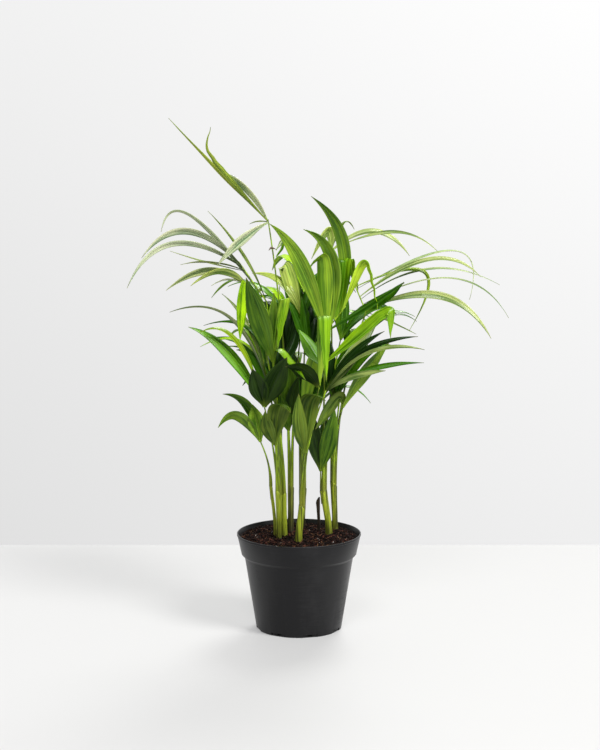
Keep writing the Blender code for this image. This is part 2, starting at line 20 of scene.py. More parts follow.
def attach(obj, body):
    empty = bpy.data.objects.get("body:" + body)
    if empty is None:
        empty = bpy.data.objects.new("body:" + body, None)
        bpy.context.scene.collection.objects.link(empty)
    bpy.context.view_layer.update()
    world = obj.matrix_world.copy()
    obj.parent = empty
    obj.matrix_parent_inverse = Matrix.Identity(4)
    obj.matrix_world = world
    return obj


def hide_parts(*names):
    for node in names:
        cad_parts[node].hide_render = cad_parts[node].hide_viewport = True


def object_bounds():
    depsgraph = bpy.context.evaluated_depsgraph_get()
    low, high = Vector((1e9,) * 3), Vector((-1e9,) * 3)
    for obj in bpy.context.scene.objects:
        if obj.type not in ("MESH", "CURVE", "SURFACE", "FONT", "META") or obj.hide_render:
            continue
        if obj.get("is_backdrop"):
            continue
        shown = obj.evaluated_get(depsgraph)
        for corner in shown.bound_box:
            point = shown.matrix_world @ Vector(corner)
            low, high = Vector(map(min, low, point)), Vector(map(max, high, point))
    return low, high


MM = 0.001

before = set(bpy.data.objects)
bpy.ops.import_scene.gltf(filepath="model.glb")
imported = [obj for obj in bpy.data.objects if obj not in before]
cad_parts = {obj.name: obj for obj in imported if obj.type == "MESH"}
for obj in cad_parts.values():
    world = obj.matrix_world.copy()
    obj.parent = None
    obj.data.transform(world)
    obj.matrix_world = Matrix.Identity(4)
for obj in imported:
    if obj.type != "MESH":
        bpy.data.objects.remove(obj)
measured_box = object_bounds()
print("nodes:", len(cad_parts), "tallest point:", round(measured_box[1].z, 3), "m")

# %% [markdown]
# ## The plan of the plant
# A palm grows by a rule, so the model keeps the rule and not a list of points. A stem is a place, a height and
# a lean. A frond is a stalk from its stem to a hub, with a rib beyond it. A leaflet leaves the rib towards a
# heading, climbs to a corner and runs on to its tip, so six sizes draw its whole arch. The last word is its shade.

# %% Describe stems, fronds and leaflets


class Stem(NamedTuple):
    """A short cane of rolled sheaths: where it stands, how tall and thick it is, and how far its top leans."""

    x: float
    y: float
    height: float
    radius: float
    lean_x: float = 0.0
    lean_y: float = 0.0


class Blade(NamedTuple):
    """One leaflet. Its middle line rises from the rib to a corner and runs on to its tip, the corner rounded."""

    heading: float
    reach: float
    rise: float
    crest: float
    at: float
    width: float
    shade: str = "deep"
    ease: float = 1.0
    roll: float = 0.0
    start: float = 0.0


class Frond(NamedTuple):
    """A stalk from its stem's top to the hub where its leaflets start, and the rib that goes on from there."""

    stem: str
    hub: tuple
    blades: tuple
    rib: tuple = (0.0, 0.0, 0.0)
    bow: tuple = (0.0, 0.0)


STEMS = {
    "stem_1": Stem(-22.7, 2.0, 49, 1.5, -4.5, 0),
    "stem_2": Stem(-19.3, -6.6, 43, 2.3, -0.5, -1),
    "stem_3": Stem(-14.4, 1.5, 39, 3.0, -0.6, 0),
    "stem_4": Stem(-8.0, 18.0, 45, 2.9, 0, 1),
    "stem_5": Stem(-0.4, -22.0, 33, 3.3, 3.2, 0),
    "stem_6": Stem(3.0, 30.0, 41, 2.8, 1, 2),
    "stem_7": Stem(29.2, 9.0, 43, 3.0, -5.5, 0),
    "stem_8": Stem(35.2, 28.0, 45, 2.7, -1.5, 0),
    "stem_9": Stem(-19.5, 26.0, 41, 2.7, 0, -2),
    "stem_10": Stem(3.0, 41.0, 37, 2.8, 0, 2),
}
DRY_SHEATH = Stem(19.6, 22.0, 30, 1.3, -1.0, 0)

FRONDS = {
    "frond_01": Frond("stem_1", (-37, -2, 184), (
        Blade(190, 41, 15, 47, 0.57, 14, "mid", roll=50),
        Blade(184, 36, 47, 48, 0.15, 12, "deep", roll=50),
        Blade(205, 8, 37, 21, 0.62, 17, "mid", roll=70),
    )),
    "frond_02": Frond("stem_2", (-33, -12, 220), (
        Blade(186, 72, 78, 68, 0.45, 13, "mid", roll=-50),
        Blade(198, 64, 74, 97, 0.38, 8, "olive", roll=-40),
        Blade(240, 22, 40, 18, 0.35, 19, "dark", roll=30),
        Blade(310, 34, 52, 30, 0.5, 22, "dark", roll=-40),
    ), bow=(-3, 1)),
    "frond_03": Frond("stem_3", (-30, 3, 238), (
        Blade(160, 46, 82, 60, 0.25, 6, "grey", roll=-30, start=0.2),
        Blade(176, 94, 70, 98, 0.28, 7, "grey", roll=35),
        Blade(168, 59, 33, 53, 0.09, 6, "deep", roll=-30, start=1.0),
    ), rib=(-4, 2, 23), bow=(-3, 3)),
    "frond_04": Frond("stem_3", (-31, -2, 320), (
        Blade(168, 103, 64, 127, 0.89, 7, "silver", roll=45),
        Blade(150, 65, 83, 47, 0.3, 3, "grey", roll=-40),
        Blade(190, 95, 9, 64, 0.59, 8, "silver", roll=55, start=0.95),
        Blade(200, 114, -15, 59, 0.71, 7.5, "silver", roll=50, start=0.9),
        Blade(165, 75, 17, 7, 0.5, 3, "grey", start=0.8),
        Blade(195, 63, 8, 16, 0.5, 4, "grey", roll=30, start=0.8),
    ), rib=(-25, 2, 36), bow=(-2, 3)),
    "frond_05": Frond("stem_3", (-48, -10, 335), (
        Blade(188, 78, -2, 35, 0.44, 10, "sage", roll=50),
        Blade(205, 59, 4, 32, 0.43, 9, "pale", roll=45),
        Blade(225, 11, -50, 7, 0.6, 10, "lime", ease=0.2, roll=-40),
        Blade(180, 35, 1, 15, 0.48, 5, "silver", roll=20),
    ), bow=(-3, -6)),
    "frond_06": Frond("stem_4", (-29, 5, 395), (
        Blade(178, 94, 98, 61, 0.63, 4.6, "olive", roll=40),
        Blade(170, 46, 48, 36, 0.36, 8, "frost", roll=60),
        Blade(184, 54, 90, 68, 1.11, 5.5, "olive", ease=0.3, roll=60),
        Blade(200, 51, -39, -12, 0.57, 11, "frost", roll=65),
        Blade(150, 21, -3, 3, 0.55, 5, "grey"),
    )),
    "frond_07": Frond("stem_7", (25, -6, 291), (
        Blade(218, 67, 108, 88, 0.42, 15, "fresh", roll=45),
        Blade(212, 31, 93, 79, -0.57, 13.5, "mid", roll=45, start=0.3),
        Blade(225, 32, 120, 81, -1.24, 12.5, "mid", roll=40, start=0.5),
        Blade(215, 29, 56, 75, 0.13, 15, "fresh", ease=0.25, roll=45, start=0.1),
        Blade(75, 28, 21, 61, 0.21, 14, "mid", ease=0.25, start=0.6),
        Blade(50, 26, 18, 56, 0.31, 14, "fresh", ease=0.25, start=0.85),
        Blade(335, 37, 2, 57, 0.67, 9, "lime", ease=0.35, roll=-50, start=0.9),
        Blade(345, 77, 50, 38, 0.73, 9, "deep", roll=40),
    ), rib=(18, 2, 23)),
    "frond_08": Frond("stem_5", (19, -26, 241), (
        Blade(285, 26, 10, 79, 0.73, 12.5, "fresh", ease=0.2),
        Blade(348, 63, 26, 58, 1.01, 14, "fresh", ease=0.3, roll=50, start=1.0),
        Blade(150, 27, 35, 25, 0.7, 13, "mid", roll=-50, start=0.8),
        Blade(200, 34, 22, 26, 0.4, 21, "dark", roll=40),
    ), rib=(5, -4, 24)),
    "frond_09": Frond("stem_2", (-24, -10, 251), (
        Blade(320, 6, 7, 66, 2.93, 16, "fresh", ease=0.3, start=0.85),
        Blade(228, 37, 84, 58, 0.69, 20, "deep", roll=40, start=0.6),
        Blade(320, 40, -7, 24, 0.1, 9, "fresh", ease=0.4, roll=10, start=0.3),
        Blade(60, 34, 48, 25, 0.95, 14, "dark"),
        Blade(275, 14, 68, 44, 0.43, 12, "mid", roll=-10, start=0.6),
    ), rib=(-1, -3, 21), bow=(0, -3)),
    "frond_10": Frond("stem_4", (3, 22, 297), (
        Blade(150, 26, 25, 61, 0.77, 18, "pale", ease=0.3, roll=-25),
        Blade(170, 49, 46, 49, 0.18, 9, "pale", roll=-45),
        Blade(55, 39, 44, 50, 0.35, 12, "deep"),
    )),
    "frond_11": Frond("stem_8", (64, 4, 309), (
        Blade(4, 52, -43, 49, 2.07, 5.5, "olive", roll=30, start=1.0),
        Blade(10, 111, -13, 77, 1.23, 2.6, "silver", roll=30, start=0.9),
        Blade(352, 115, 21, 65, 0.66, 6, "sage", roll=40, start=0.6),
        Blade(12, 138, 10, 51, 0.49, 2.8, "silver", roll=30, start=0.5),
        Blade(345, 141, -8, 61, 0.72, 2.2, "silver", roll=30, start=0.3),
        Blade(350, 121, -25, 43, 0.7, 8.5, "sage", roll=50, start=0.1),
        Blade(335, 39, 31, 16, 0.55, 12, "deep", roll=50),
        Blade(20, 52, -24, -10, 0.55, 3, "grey", roll=30),
    ), rib=(-10, 4, 24)),
    "frond_12": Frond("stem_8", (31, 30, 365), (
        Blade(5, 76, -6, 41, 0.6, 7, "sage", roll=45),
        Blade(350, 104, 0, 39, 0.65, 3.8, "sage", roll=35),
        Blade(205, 21, -7, 44, -0.1, 12, "pale", roll=50),
        Blade(30, 26, 19, 43, 0.55, 5, "grey"),
        Blade(95, 50, -15, 16, 0.5, 10, "mid"),
    )),
    "frond_13": Frond("stem_5", (25, -14, 234), (
        Blade(338, 61, 25, 21, 0.32, 9, "grey", roll=40),
        Blade(352, 94, 31, 31, 0.33, 7, "deep", roll=40),
        Blade(8, 57, 58, 42, 0.34, 9, "dark", roll=40),
        Blade(0, 88, 54, 53, 0.29, 8, "dark", roll=40),
        Blade(346, 96, 45, 59, 0.36, 7, "grey", roll=30),
        Blade(25, 56, 65, 43, 0.6, 14, "grey", roll=40),
    )),
    "frond_14": Frond("stem_8", (42, 0, 217), (
        Blade(338, 47, 71, 37, 0.35, 13, "mid", roll=-50),
        Blade(212, 31, -18, 30, -0.05, 16, "dusk", roll=78),
    )),
    "frond_15": Frond("stem_5", (6, -31, 179), (
        Blade(250, 18, 60, 32, 1.4, 14, "dusk", roll=30),
        Blade(300, 38, 56, 74, -0.15, 21, "dusk", roll=-30),
    )),
    "frond_16": Frond("stem_7", (21, 4, 154), (
        Blade(240, 18, 62, 40, 0.8, 16, "dark", roll=30),
        Blade(305, 23, 75, 43, 0.65, 16, "deep", roll=-35),
    ), bow=(-1, 0)),
    "frond_17": Frond("stem_4", (-10, 12, 192), (
        Blade(235, 15, 49, 23, 0.6, 13, "deep", roll=30),
        Blade(310, 15, 56, 28, 0.1, 13, "dark", roll=-40),
        Blade(270, 10, 74, 44, 0.3, 18, "deep"),
    )),
    "frond_18": Frond("stem_2", (-23, -22, 185), (
        Blade(290, 45, 39, 59, 0.15, 21, "dusk", roll=-20),
        Blade(215, 11, 34, 17, 0.86, 14, "dusk", roll=40),
    ), bow=(0, -3)),
    "frond_19": Frond("stem_9", (-20, 8, 214), (
        Blade(100, 16, 54, 36, 0.5, 20, "dark"),
        Blade(165, 42, 56, 60, 0.4, 14, "deep", roll=-60),
        Blade(75, 26, 88, 60, 0.3, 17, "dark", roll=40),
    )),
    "frond_20": Frond("stem_6", (4, 10, 204), (
        Blade(80, 14, 62, 40, 0.5, 18, "dark", roll=10),
        Blade(135, 32, 66, 50, 0.4, 15, "dark", roll=-50),
        Blade(35, 34, 64, 50, 0.4, 19, "deep", roll=50),
        Blade(340, 26, 92, 56, 0.2, 15, "mid", roll=-60),
    )),
    "frond_21": Frond("stem_6", (11, 14, 262), (
        Blade(100, 16, 64, 42, 0.5, 19, "deep"),
        Blade(30, 30, 60, 44, 0.4, 14, "mid", roll=40),
        Blade(150, 30, 40, 50, 0.5, 13, "deep", roll=-30),
    )),
    "frond_22": Frond("stem_7", (34, 6, 222), (
        Blade(60, 24, 64, 46, 0.4, 16, "deep", roll=20),
        Blade(15, 56, 54, 60, 0.4, 13, "mid", roll=50),
        Blade(98, 24, 60, 46, 0.4, 13, "dark"),
    )),
    "frond_23": Frond("stem_7", (40, 18, 280), (
        Blade(80, 20, 52, 38, 0.5, 14, "mid"),
        Blade(20, 58, 22, 50, 0.5, 12, "deep", roll=40),
        Blade(120, 40, 40, 50, 0.5, 13, "deep", roll=-20),
    )),
    "frond_24": Frond("stem_9", (-15, 26, 256), (
        Blade(110, 18, 52, 38, 0.5, 14, "mid"),
        Blade(60, 30, 58, 50, 0.4, 13, "deep", roll=20),
        Blade(126, 36, 40, 44, 0.4, 10, "deep", roll=-40),
    )),
}

# The fronds at the back: their stem, heading, hub height and number of leaflets.
BACK_FRONDS = {
    "frond_25": ("stem_6", 120, 214, 4),
    "frond_26": ("stem_6", 62, 262, 5),
    "frond_27": ("stem_10", 118, 282, 5),
    "frond_28": ("stem_9", 132, 236, 4),
    "frond_29": ("stem_8", 56, 250, 4),
    "frond_30": ("stem_10", 80, 300, 5),
    "frond_31": ("stem_9", 104, 270, 3),
    "frond_32": ("stem_10", 48, 190, 3),
}
BACK_SEED = 7
SOIL_TOP = 91.0
CLEARANCE = 0.3
print("leaflets in the table:", sum(len(frond.blades) for frond in FRONDS.values()))

# %% [markdown]
# ## The growing rule
# A leaflet's middle line is two straight runs with the corner between them rounded off. With the ease at 1 the
# whole line is one arc, and with a small ease the leaflet is creased, as where it has folded over and hangs.
# Back fronds come from the same rule with chance numbers. Their seed is fixed, so they are the same each time.

# %% Draw the middle line of a leaflet
CURL = 14.0


def direction(heading):
    angle = math.radians(heading)
    return Vector((math.cos(angle), math.sin(angle), 0.0))


def rounded_corner(start, corner, end, ease, samples=40):
    """From start past the corner to the end. An ease of 1 makes one arc of it, and a small one a crease."""
    before = corner.lerp(start, ease)
    after = corner.lerp(end, ease)
    arc = [
        before.lerp(corner, t / samples).lerp(corner.lerp(after, t / samples), t / samples)
        for t in range(samples + 1)
    ]
    return ([start] if ease < 1 else []) + arc + ([end] if ease < 1 else [])


def spread_along(points, count, curl=0.0):
    """Points spread along the line, each with its share of the length. A curl above 0 draws them to the bends."""
    steps = [b - a for a, b in zip(points, points[1:])]
    lengths = np.array([step.length for step in steps])
    turns = np.array([0.0] + [a.angle(b, 0.0) for a, b in zip(steps, steps[1:])])
    weights = np.concatenate([[0.0], np.cumsum(lengths + curl * turns)])
    gone = np.concatenate([[0.0], np.cumsum(lengths)])
    wanted = np.linspace(0.0, weights[-1], count + 1)
    places = np.stack([np.interp(wanted, weights, [point[axis] for point in points]) for axis in range(3)], axis=1)
    return np.interp(wanted, weights, gone) / gone[-1], [Vector(place) for place in places]


def blade_line(blade, root, sections):
    out = direction(blade.heading)
    corner = root + out * (blade.at * blade.reach) + Vector((0, 0, blade.crest))
    tip = root + out * blade.reach + Vector((0, 0, blade.rise))
    return spread_along(rounded_corner(root, corner, tip, blade.ease), sections, CURL)


# %% Grow the fronds at the back
BACK_LEAN = 0.10
BACK_FAN = 88.0
BACK_RIB_OUT = 6.0
BACK_RIB_UP = 14.0
BACK_REACH = (56, 88)
BACK_RISE = (0.0, 0.5)
BACK_CREST = (0.65, 0.9)
BACK_CORNER = (0.35, 0.55)
BACK_WIDTH = (10, 14)
BACK_SCATTER = 6.0
BACK_SHADES = ("mid", "deep", "fresh", "deep", "lime")


def back_frond(stem_name, heading, height, count, chance):
    """A frond by the rule that the plant shows: leaflets of chance sizes fanned about the frond's heading, on a stalk
    that leans out more the higher its hub.
    """
    cane = STEMS[stem_name]
    lean = BACK_LEAN * (height - SOIL_TOP)
    out = direction(heading)
    hub = (cane.x + out.x * lean, cane.y + out.y * lean, float(height))
    rib = (out.x * BACK_RIB_OUT, out.y * BACK_RIB_OUT, BACK_RIB_UP)
    blades = []
    for number in range(count):
        share = number / (count - 1)
        reach = chance.uniform(*BACK_REACH)
        blades.append(Blade(
            heading=heading + BACK_FAN * (share - 0.5) + chance.uniform(-BACK_SCATTER, BACK_SCATTER),
            reach=reach,
            rise=chance.uniform(*BACK_RISE) * reach,
            crest=chance.uniform(*BACK_CREST) * reach,
            at=chance.uniform(*BACK_CORNER),
            width=chance.uniform(*BACK_WIDTH),
            shade=BACK_SHADES[(number + height) % len(BACK_SHADES)],
            start=abs(2 * share - 1),
        ))
    return Frond(stem_name, hub, tuple(blades), rib=rib)


chance = random.Random(BACK_SEED)
for name, (stem_name, heading, height, count) in BACK_FRONDS.items():
    FRONDS[name] = back_frond(stem_name, heading, height, count, chance)
print("fronds:", len(FRONDS), "leaflets:", sum(len(frond.blades) for frond in FRONDS.values()))

# %% [markdown]
# ## Where each leaflet settled
# In the measured model a leaflet that would touch its neighbours swings aside or lifts a little. The
# same small moves are tried here, and the one that lies deepest in the frond's own solid is kept. That ties every
# fine leaflet to the solid that it stands for, and the mean distance shows how well the two agree.

# %% Find the small move that each leaflet made
SWINGS = (0, 6, -6, 12, -12, 18, -18, 25, -25)
LIFTS = (0, 5, -5, 10, -10, 16)
TEST_POINTS = 9
TRUSTED_STRAY = 0.75
MOST_STRAY = 3.0
WIDEST_AT = 0.5
CREASED_WIDEST_AT = 0.5
BLADE_ROOT_WIDTH = 0.16
SWELL_POWER = 1.4
TAPER_POWER = 1.0
ROOF = 0.22
CREASED_ROOF = 0.08


def blade_width(t, widest=WIDEST_AT):
    """Share of the full width at t along the blade: a narrow root, a full middle and a drawn-out tip."""
    if t < widest:
        swell = math.sin(math.pi / 2 * t / widest) ** SWELL_POWER
        return BLADE_ROOT_WIDTH + (1 - BLADE_ROOT_WIDTH) * swell
    return max(0.0, math.cos(math.pi / 2 * (t - widest) / (1 - widest))) ** TAPER_POWER


def widest_at(blade):
    """A creased leaflet keeps its width as far as the crease."""
    return WIDEST_AT if blade.ease == 1 else CREASED_WIDEST_AT


def solid_of(node):
    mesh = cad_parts[node].data
    return BVHTree.FromPolygons([v.co for v in mesh.vertices], [list(p.vertices) for p in mesh.polygons])


def distance_to(solid, points):
    """Mean distance in millimetres from these points to the solid's faces."""
    return sum(solid.find_nearest(point * MM)[3] for point in points) / len(points) / MM


def across(blade, ahead):
    """The directions across a leaflet and out of its upper face, where its line runs this way."""
    level = direction(blade.heading + 90)
    roll = math.radians(blade.roll)
    side = level * math.cos(roll) + ahead.cross(level) * math.sin(roll)
    return side, ahead.cross(side)


def settled(blade, root, solid):
    """The leaflet as its solid has it, and how far its middle line lies from that solid's faces."""
    stray = distance_to(solid, blade_line(blade, root, TEST_POINTS)[1][2:])
    if stray < TRUSTED_STRAY:
        return blade, stray
    moves = [
        blade._replace(heading=blade.heading + swing, crest=blade.crest + lift, rise=blade.rise + lift)
        for swing, lift in itertools.product(SWINGS, LIFTS)
    ]
    strays = [distance_to(solid, blade_line(moved, root, TEST_POINTS)[1][2:]) for moved in moves]
    stray = min(strays)
    return moves[strays.index(stray)], stray


def blade_root(frond, blade):
    return Vector(frond.hub) + Vector(frond.rib) * blade.start


# One leaflet in front gave way to a thick neighbour; as a thin blade it keeps the place that the photograph shows.
STAYED = {"frond_09": 2}
strays = {}
for name, frond in FRONDS.items():
    solid = solid_of(name)
    found = [settled(blade, blade_root(frond, blade), solid) for blade in frond.blades]
    if name in STAYED:
        found[STAYED[name]] = (frond.blades[STAYED[name]], found[STAYED[name]][1])
    FRONDS[name] = frond._replace(blades=tuple(blade for blade, stray in found if stray < MOST_STRAY))
    for number, (blade, stray) in enumerate(found):
        strays[f"{name}/{number}"] = stray
        if blade != frond.blades[number]:
            print("  ", name, number, "moved, stray", round(stray, 2))
worst = max(strays, key=strays.get)
print("mean distance to the solids:", round(sum(strays.values()) / len(strays), 2), "mm; most:", worst, round(strays[worst], 2))

# %% [markdown]
# ## The heart of the plant
# Between the big leaflets the plant is dark and full of small ones. The measured model leaves them out to stay
# light. Here the inner fronds get a few each by the same rule: short, steep and turned to the back, so that they
# stay within the reach of the frond's own leaflets.

# %% Grow the small inner leaflets
INNER_SEED = 4
INNER_FRONDS = (16, 17, 19, 20, 21, 22, 24)
INNER_COUNT = 4
INNER_FAN = 150.0
INNER_REACH = (0.35, 0.8)
INNER_CREST = (34, 58)
INNER_RISE = (0.9, 1.35)
INNER_WIDTH = (9, 15)
# Painted shade: most inner leaflets get the near-black dark shade, which paints the shade deep in the clump.
INNER_SHADES = ("dark", "deep", "dark")


def inner_leaflets(frond, chance):
    """Small leaflets fanned over the back of the hub."""
    reach = max(blade.reach for blade in frond.blades)
    for number in range(INNER_COUNT):
        crest = chance.uniform(*INNER_CREST)
        yield Blade(
            heading=90 + INNER_FAN * ((number + chance.random()) / INNER_COUNT - 0.5),
            reach=reach * chance.uniform(*INNER_REACH),
            rise=crest * chance.uniform(*INNER_RISE),
            crest=crest,
            at=chance.uniform(0.2, 0.5),
            width=chance.uniform(*INNER_WIDTH),
            shade=chance.choice(INNER_SHADES),
            roll=chance.uniform(-20, 20),
        )


chance = random.Random(INNER_SEED)
for number in INNER_FRONDS:
    frond = FRONDS[f"frond_{number:02d}"]
    FRONDS[f"frond_{number:02d}"] = frond._replace(blades=frond.blades + tuple(inner_leaflets(frond, chance)))
SPRIGS = {
    "frond_06": (
        ((-21.9, 5.0, 362.0), Blade(350, 8, 16, 6, 0.6, 6.5, "fresh", roll=30)),
        ((-21.9, 5.0, 368.0), Blade(355, 9, 13, 9, 0.5, 4.5, "frost", roll=40)),
        ((-21.9, 5.0, 369.0), Blade(190, 7, -1, 4, 0.7, 3.5, "dry", roll=30)),
    ),
}
print("leaflets with the inner ones:", sum(len(frond.blades) for frond in FRONDS.values()))

# %% [markdown]
# ## Finishes made of formulas
# Every finish here is a small graph of shader nodes. Wired by hand it is hard to read, so a socket is wrapped in
# a class whose plus, minus and times add the matching Math node. A pattern then reads like a formula.

# %% Wrap a shader socket


class Value:
    """A number that varies over a surface, ready for use in sums."""

    def __init__(self, finish, socket):
        self.finish = finish
        self.socket = socket

    def __add__(self, other):
        return self.finish.sum("ADD", self, other)

    def __sub__(self, other):
        return self.finish.sum("SUBTRACT", self, other)

    def __rsub__(self, other):
        return self.finish.sum("SUBTRACT", other, self)

    def __mul__(self, other):
        return self.finish.sum("MULTIPLY", self, other)

    def __pow__(self, other):
        return self.finish.sum("POWER", self, other)

    __radd__ = __add__
    __rmul__ = __mul__


class Finish:
    """One material, and the nodes that feed its shader."""

    def __init__(self, name, colour, roughness, **constants):
        self.material = bpy.data.materials.new(name)
        self.material.use_nodes = True
        self.tree = self.material.node_tree
        self.shader = self.tree.nodes["Principled BSDF"]
        self.output = self.tree.nodes["Material Output"]
        self.feed(self.shader, {"Base Color": (*colour, 1.0), "Roughness": roughness})
        for key, value in constants.items():
            self.feed(self.shader, {key.replace("_", " ").title().replace("Ior", "IOR"): value})

    def feed(self, node, values):
        for key, value in values.items():
            if isinstance(value, Value):
                self.tree.links.new(value.socket, node.inputs[key])
            else:
                node.inputs[key].default_value = value

    def add(self, kind, settings=None, values=None, output=0):
        """A node of this kind with its settings made first, then its sockets fed. Returns one of its outputs."""
        node = self.tree.nodes.new("ShaderNode" + kind)
        for key, setting in (settings or {}).items():
            setattr(node, key, setting)
        self.feed(node, values or {})
        return Value(self, node.outputs[output])

    def sum(self, operation, first, second=0.0):
        return self.add("Math", {"operation": operation}, {0: first, 1: second})

    def clamp(self, value, low, high, to_low=0.0, to_high=1.0):
        """Carries low..high to to_low..to_high with soft ends."""
        settings = {"interpolation_type": "SMOOTHSTEP"}
        return self.add("MapRange", settings, {0: value, 1: low, 2: high, 3: to_low, 4: to_high})

    def scaled(self, vector, by):
        return self.add("VectorMath", {"operation": "MULTIPLY"}, {0: vector, 1: by})

    def noise(self, vector, scale, detail=3.0, roughness=0.55):
        return self.add("TexNoise", None, {"Vector": vector, "Scale": scale, "Detail": detail, "Roughness": roughness})

    def mix(self, share, first, second):
        colours = [value if isinstance(value, Value) else (*value, 1.0) for value in (first, second)]
        return self.add("Mix", {"data_type": "RGBA"}, {0: share, 6: colours[0], 7: colours[1]}, output=2)

    def place(self):
        return self.add("TexCoord", output="Object")

    def bump(self, height, depth):
        """Raises the shading by a height pattern of this depth in millimetres."""
        node = self.add("Bump", None, {"Height": height, "Strength": 1.0, "Distance": depth * MM})
        self.feed(self.shader, {"Normal": node})

    def glow(self, colour, share):
        """Lets this share of the light through, as a thin leaf does."""
        through = self.add("BsdfTranslucent", None, {"Color": (*colour, 1.0)})
        mixed = self.add("MixShader", None, {0: share, 1: Value(self, self.shader.outputs[0]), 2: through})
        self.feed(self.output, {"Surface": mixed})


# %% [markdown]
# ## Leaf green
# One green would make a plastic plant. Young leaflets are lime, older ones deep, and undersides are paler and a
# little grey. Some shades also hold painted light: lime and pale are brightened by a painted glow of light coming
# through from behind, pale also by a painted highlight; silver, grey and frost carry a painted sheen; and the
# near-black dark shade is painted shade deep in the clump. So each shade has an upper and a lower colour, dealt
# out leaflet by leaflet. Within a leaflet the veins run lengthwise: a fine streak pattern reads how far along and
# across the blade a point lies.

# %% Mix the leaf shades
# Painted light in these colours: lime is young green brightened by a painted glow from behind; pale is painted glow
# and highlight; silver, grey and frost are underside greys lightened by painted sheen; dark is painted shade.
LEAF_SHADES = {
    "lime": ((0.290, 0.560, 0.004), (0.330, 0.520, 0.020), (0.60, 0.90, 0.01)),
    "fresh": ((0.165, 0.365, 0.003), (0.220, 0.390, 0.016), (0.40, 0.70, 0.01)),
    "mid": ((0.082, 0.245, 0.002), (0.135, 0.265, 0.011), (0.26, 0.56, 0.01)),
    "deep": ((0.036, 0.140, 0.001), (0.068, 0.160, 0.007), (0.14, 0.38, 0.00)),
    "dark": ((0.008, 0.036, 0.001), (0.016, 0.046, 0.002), (0.04, 0.14, 0.00)),
    "grey": ((0.200, 0.290, 0.070), (0.300, 0.370, 0.150), (0.30, 0.46, 0.08)),
    "sage": ((0.300, 0.400, 0.120), (0.350, 0.440, 0.170), (0.48, 0.64, 0.16)),
    "frost": ((0.400, 0.510, 0.240), (0.480, 0.570, 0.340), (0.62, 0.76, 0.30)),
    "dry": ((0.110, 0.090, 0.050), (0.160, 0.140, 0.090), (0.12, 0.10, 0.05)),
    "dusk": ((0.058, 0.120, 0.005), (0.088, 0.158, 0.013), (0.13, 0.28, 0.01)),
    "silver": ((0.310, 0.420, 0.180), (0.450, 0.540, 0.330), (0.46, 0.60, 0.20)),
    "olive": ((0.170, 0.290, 0.005), (0.250, 0.340, 0.030), (0.36, 0.56, 0.01)),
    "pale": ((0.370, 0.500, 0.080), (0.420, 0.540, 0.130), (0.66, 0.84, 0.16)),
}
LIGHT_THROUGH = 0.20
DEEPER = (0.36, 0.48, 0.4)
PALER = (1.8, 1.5, 1.7)
YOUNG_ROOT = (0.340, 0.460, 0.020)
DARK_ROOT = (0.020, 0.055, 0.003)
DRY_TIP = (0.20, 0.17, 0.05)
DULL_SHADES = ("deep", "dark", "dusk", "dry")
DARK_ROOTED = ("silver", "grey")


def leaf_finish(name, colour, glow, roughness, gloss, dark_rooted):
    """A blade's skin: vein streaks, painted bands of sheen and shade along the pleats, one half painted lighter where
    the roof fold catches the light, a pale midrib, and a sheen broken by fine veins.
    """
    finish = Finish(name, colour, roughness, specular_ior_level=gloss)
    leaf = finish.add("Attribute", {"attribute_name": "leaf"}, output="Vector")
    along, side = (finish.add("SeparateXYZ", None, {0: leaf}, output=axis) for axis in range(2))
    streaks = finish.noise(finish.scaled(leaf, (0.8, 2.2, 7.3)), 1.6, detail=2.0)
    # Painted sheen and shade: lengthwise bands, mixed towards the pale rib colour, that stand in for the light and
    # dark of the pleats.
    sheen_stripes = finish.noise(finish.scaled(leaf, (0.08, 4.2, 5.9)), 1.0, detail=1.0)
    patches = finish.noise(finish.scaled(leaf, (3.0, 0.8, 5.1)), 1.1, detail=2.0)
    # Painted light: one half of the blade a little lighter, as where the roof fold turns that half to the light.
    lit_half = finish.clamp(side, -0.12, 0.12)
    tone = finish.clamp(streaks * 0.55 + patches * 0.45 + lit_half * 0.05, 0.40, 0.64)
    deeper = tuple(channel * share for channel, share in zip(colour, DEEPER))
    paler = tuple(min(1.0, channel * share) for channel, share in zip(colour, PALER))
    # The pale rib colour serves the midrib, and it also paints the sheen in the pleat bands.
    rib = tuple(min(1.0, channel * 1.8 + 0.02) for channel in colour)
    striped = finish.mix(finish.clamp(sheen_stripes, 0.54, 0.68, 0.0, 0.55), finish.mix(tone, deeper, paler), rib)
    body = finish.mix(finish.clamp(side * side, 0.0, 0.008, 0.45, 0.0), striped, rib)
    if dark_rooted:
        rooted = finish.mix(finish.clamp(along, 0.05, 0.38, 0.85, 0.0), body, DARK_ROOT)
    else:
        rooted = finish.mix(finish.clamp(along, 0.0, 0.2, 0.6, 0.0), body, tuple(0.5 * (a + b) for a, b in zip(rib, YOUNG_ROOT)))
    finish.feed(finish.shader, {
        "Base Color": finish.mix(finish.clamp(along, 0.93, 1.0, 0.0, 0.5), rooted, DRY_TIP),
        "Roughness": finish.clamp(streaks, 0.3, 0.7, roughness - 0.06, roughness + 0.10),
    })
    finish.bump(finish.noise(finish.scaled(leaf, (0.5, 4.4, 3.7)), 1.0, detail=1.0), 0.12)
    finish.glow(glow, LIGHT_THROUGH)
    return finish.material


leaf_skins = {}
for shade, (upper, lower, glow) in LEAF_SHADES.items():
    gloss = 0.22 if shade in DULL_SHADES else 0.40
    dark_rooted = shade in DARK_ROOTED
    leaf_skins[shade] = (
        leaf_finish(f"{shade} leaf upper face", upper, glow, 0.26, gloss, dark_rooted),
        leaf_finish(f"{shade} leaf underside", lower, glow, 0.44, 0.8 * gloss, dark_rooted),
    )
print("leaf skins:", 2 * len(leaf_skins))

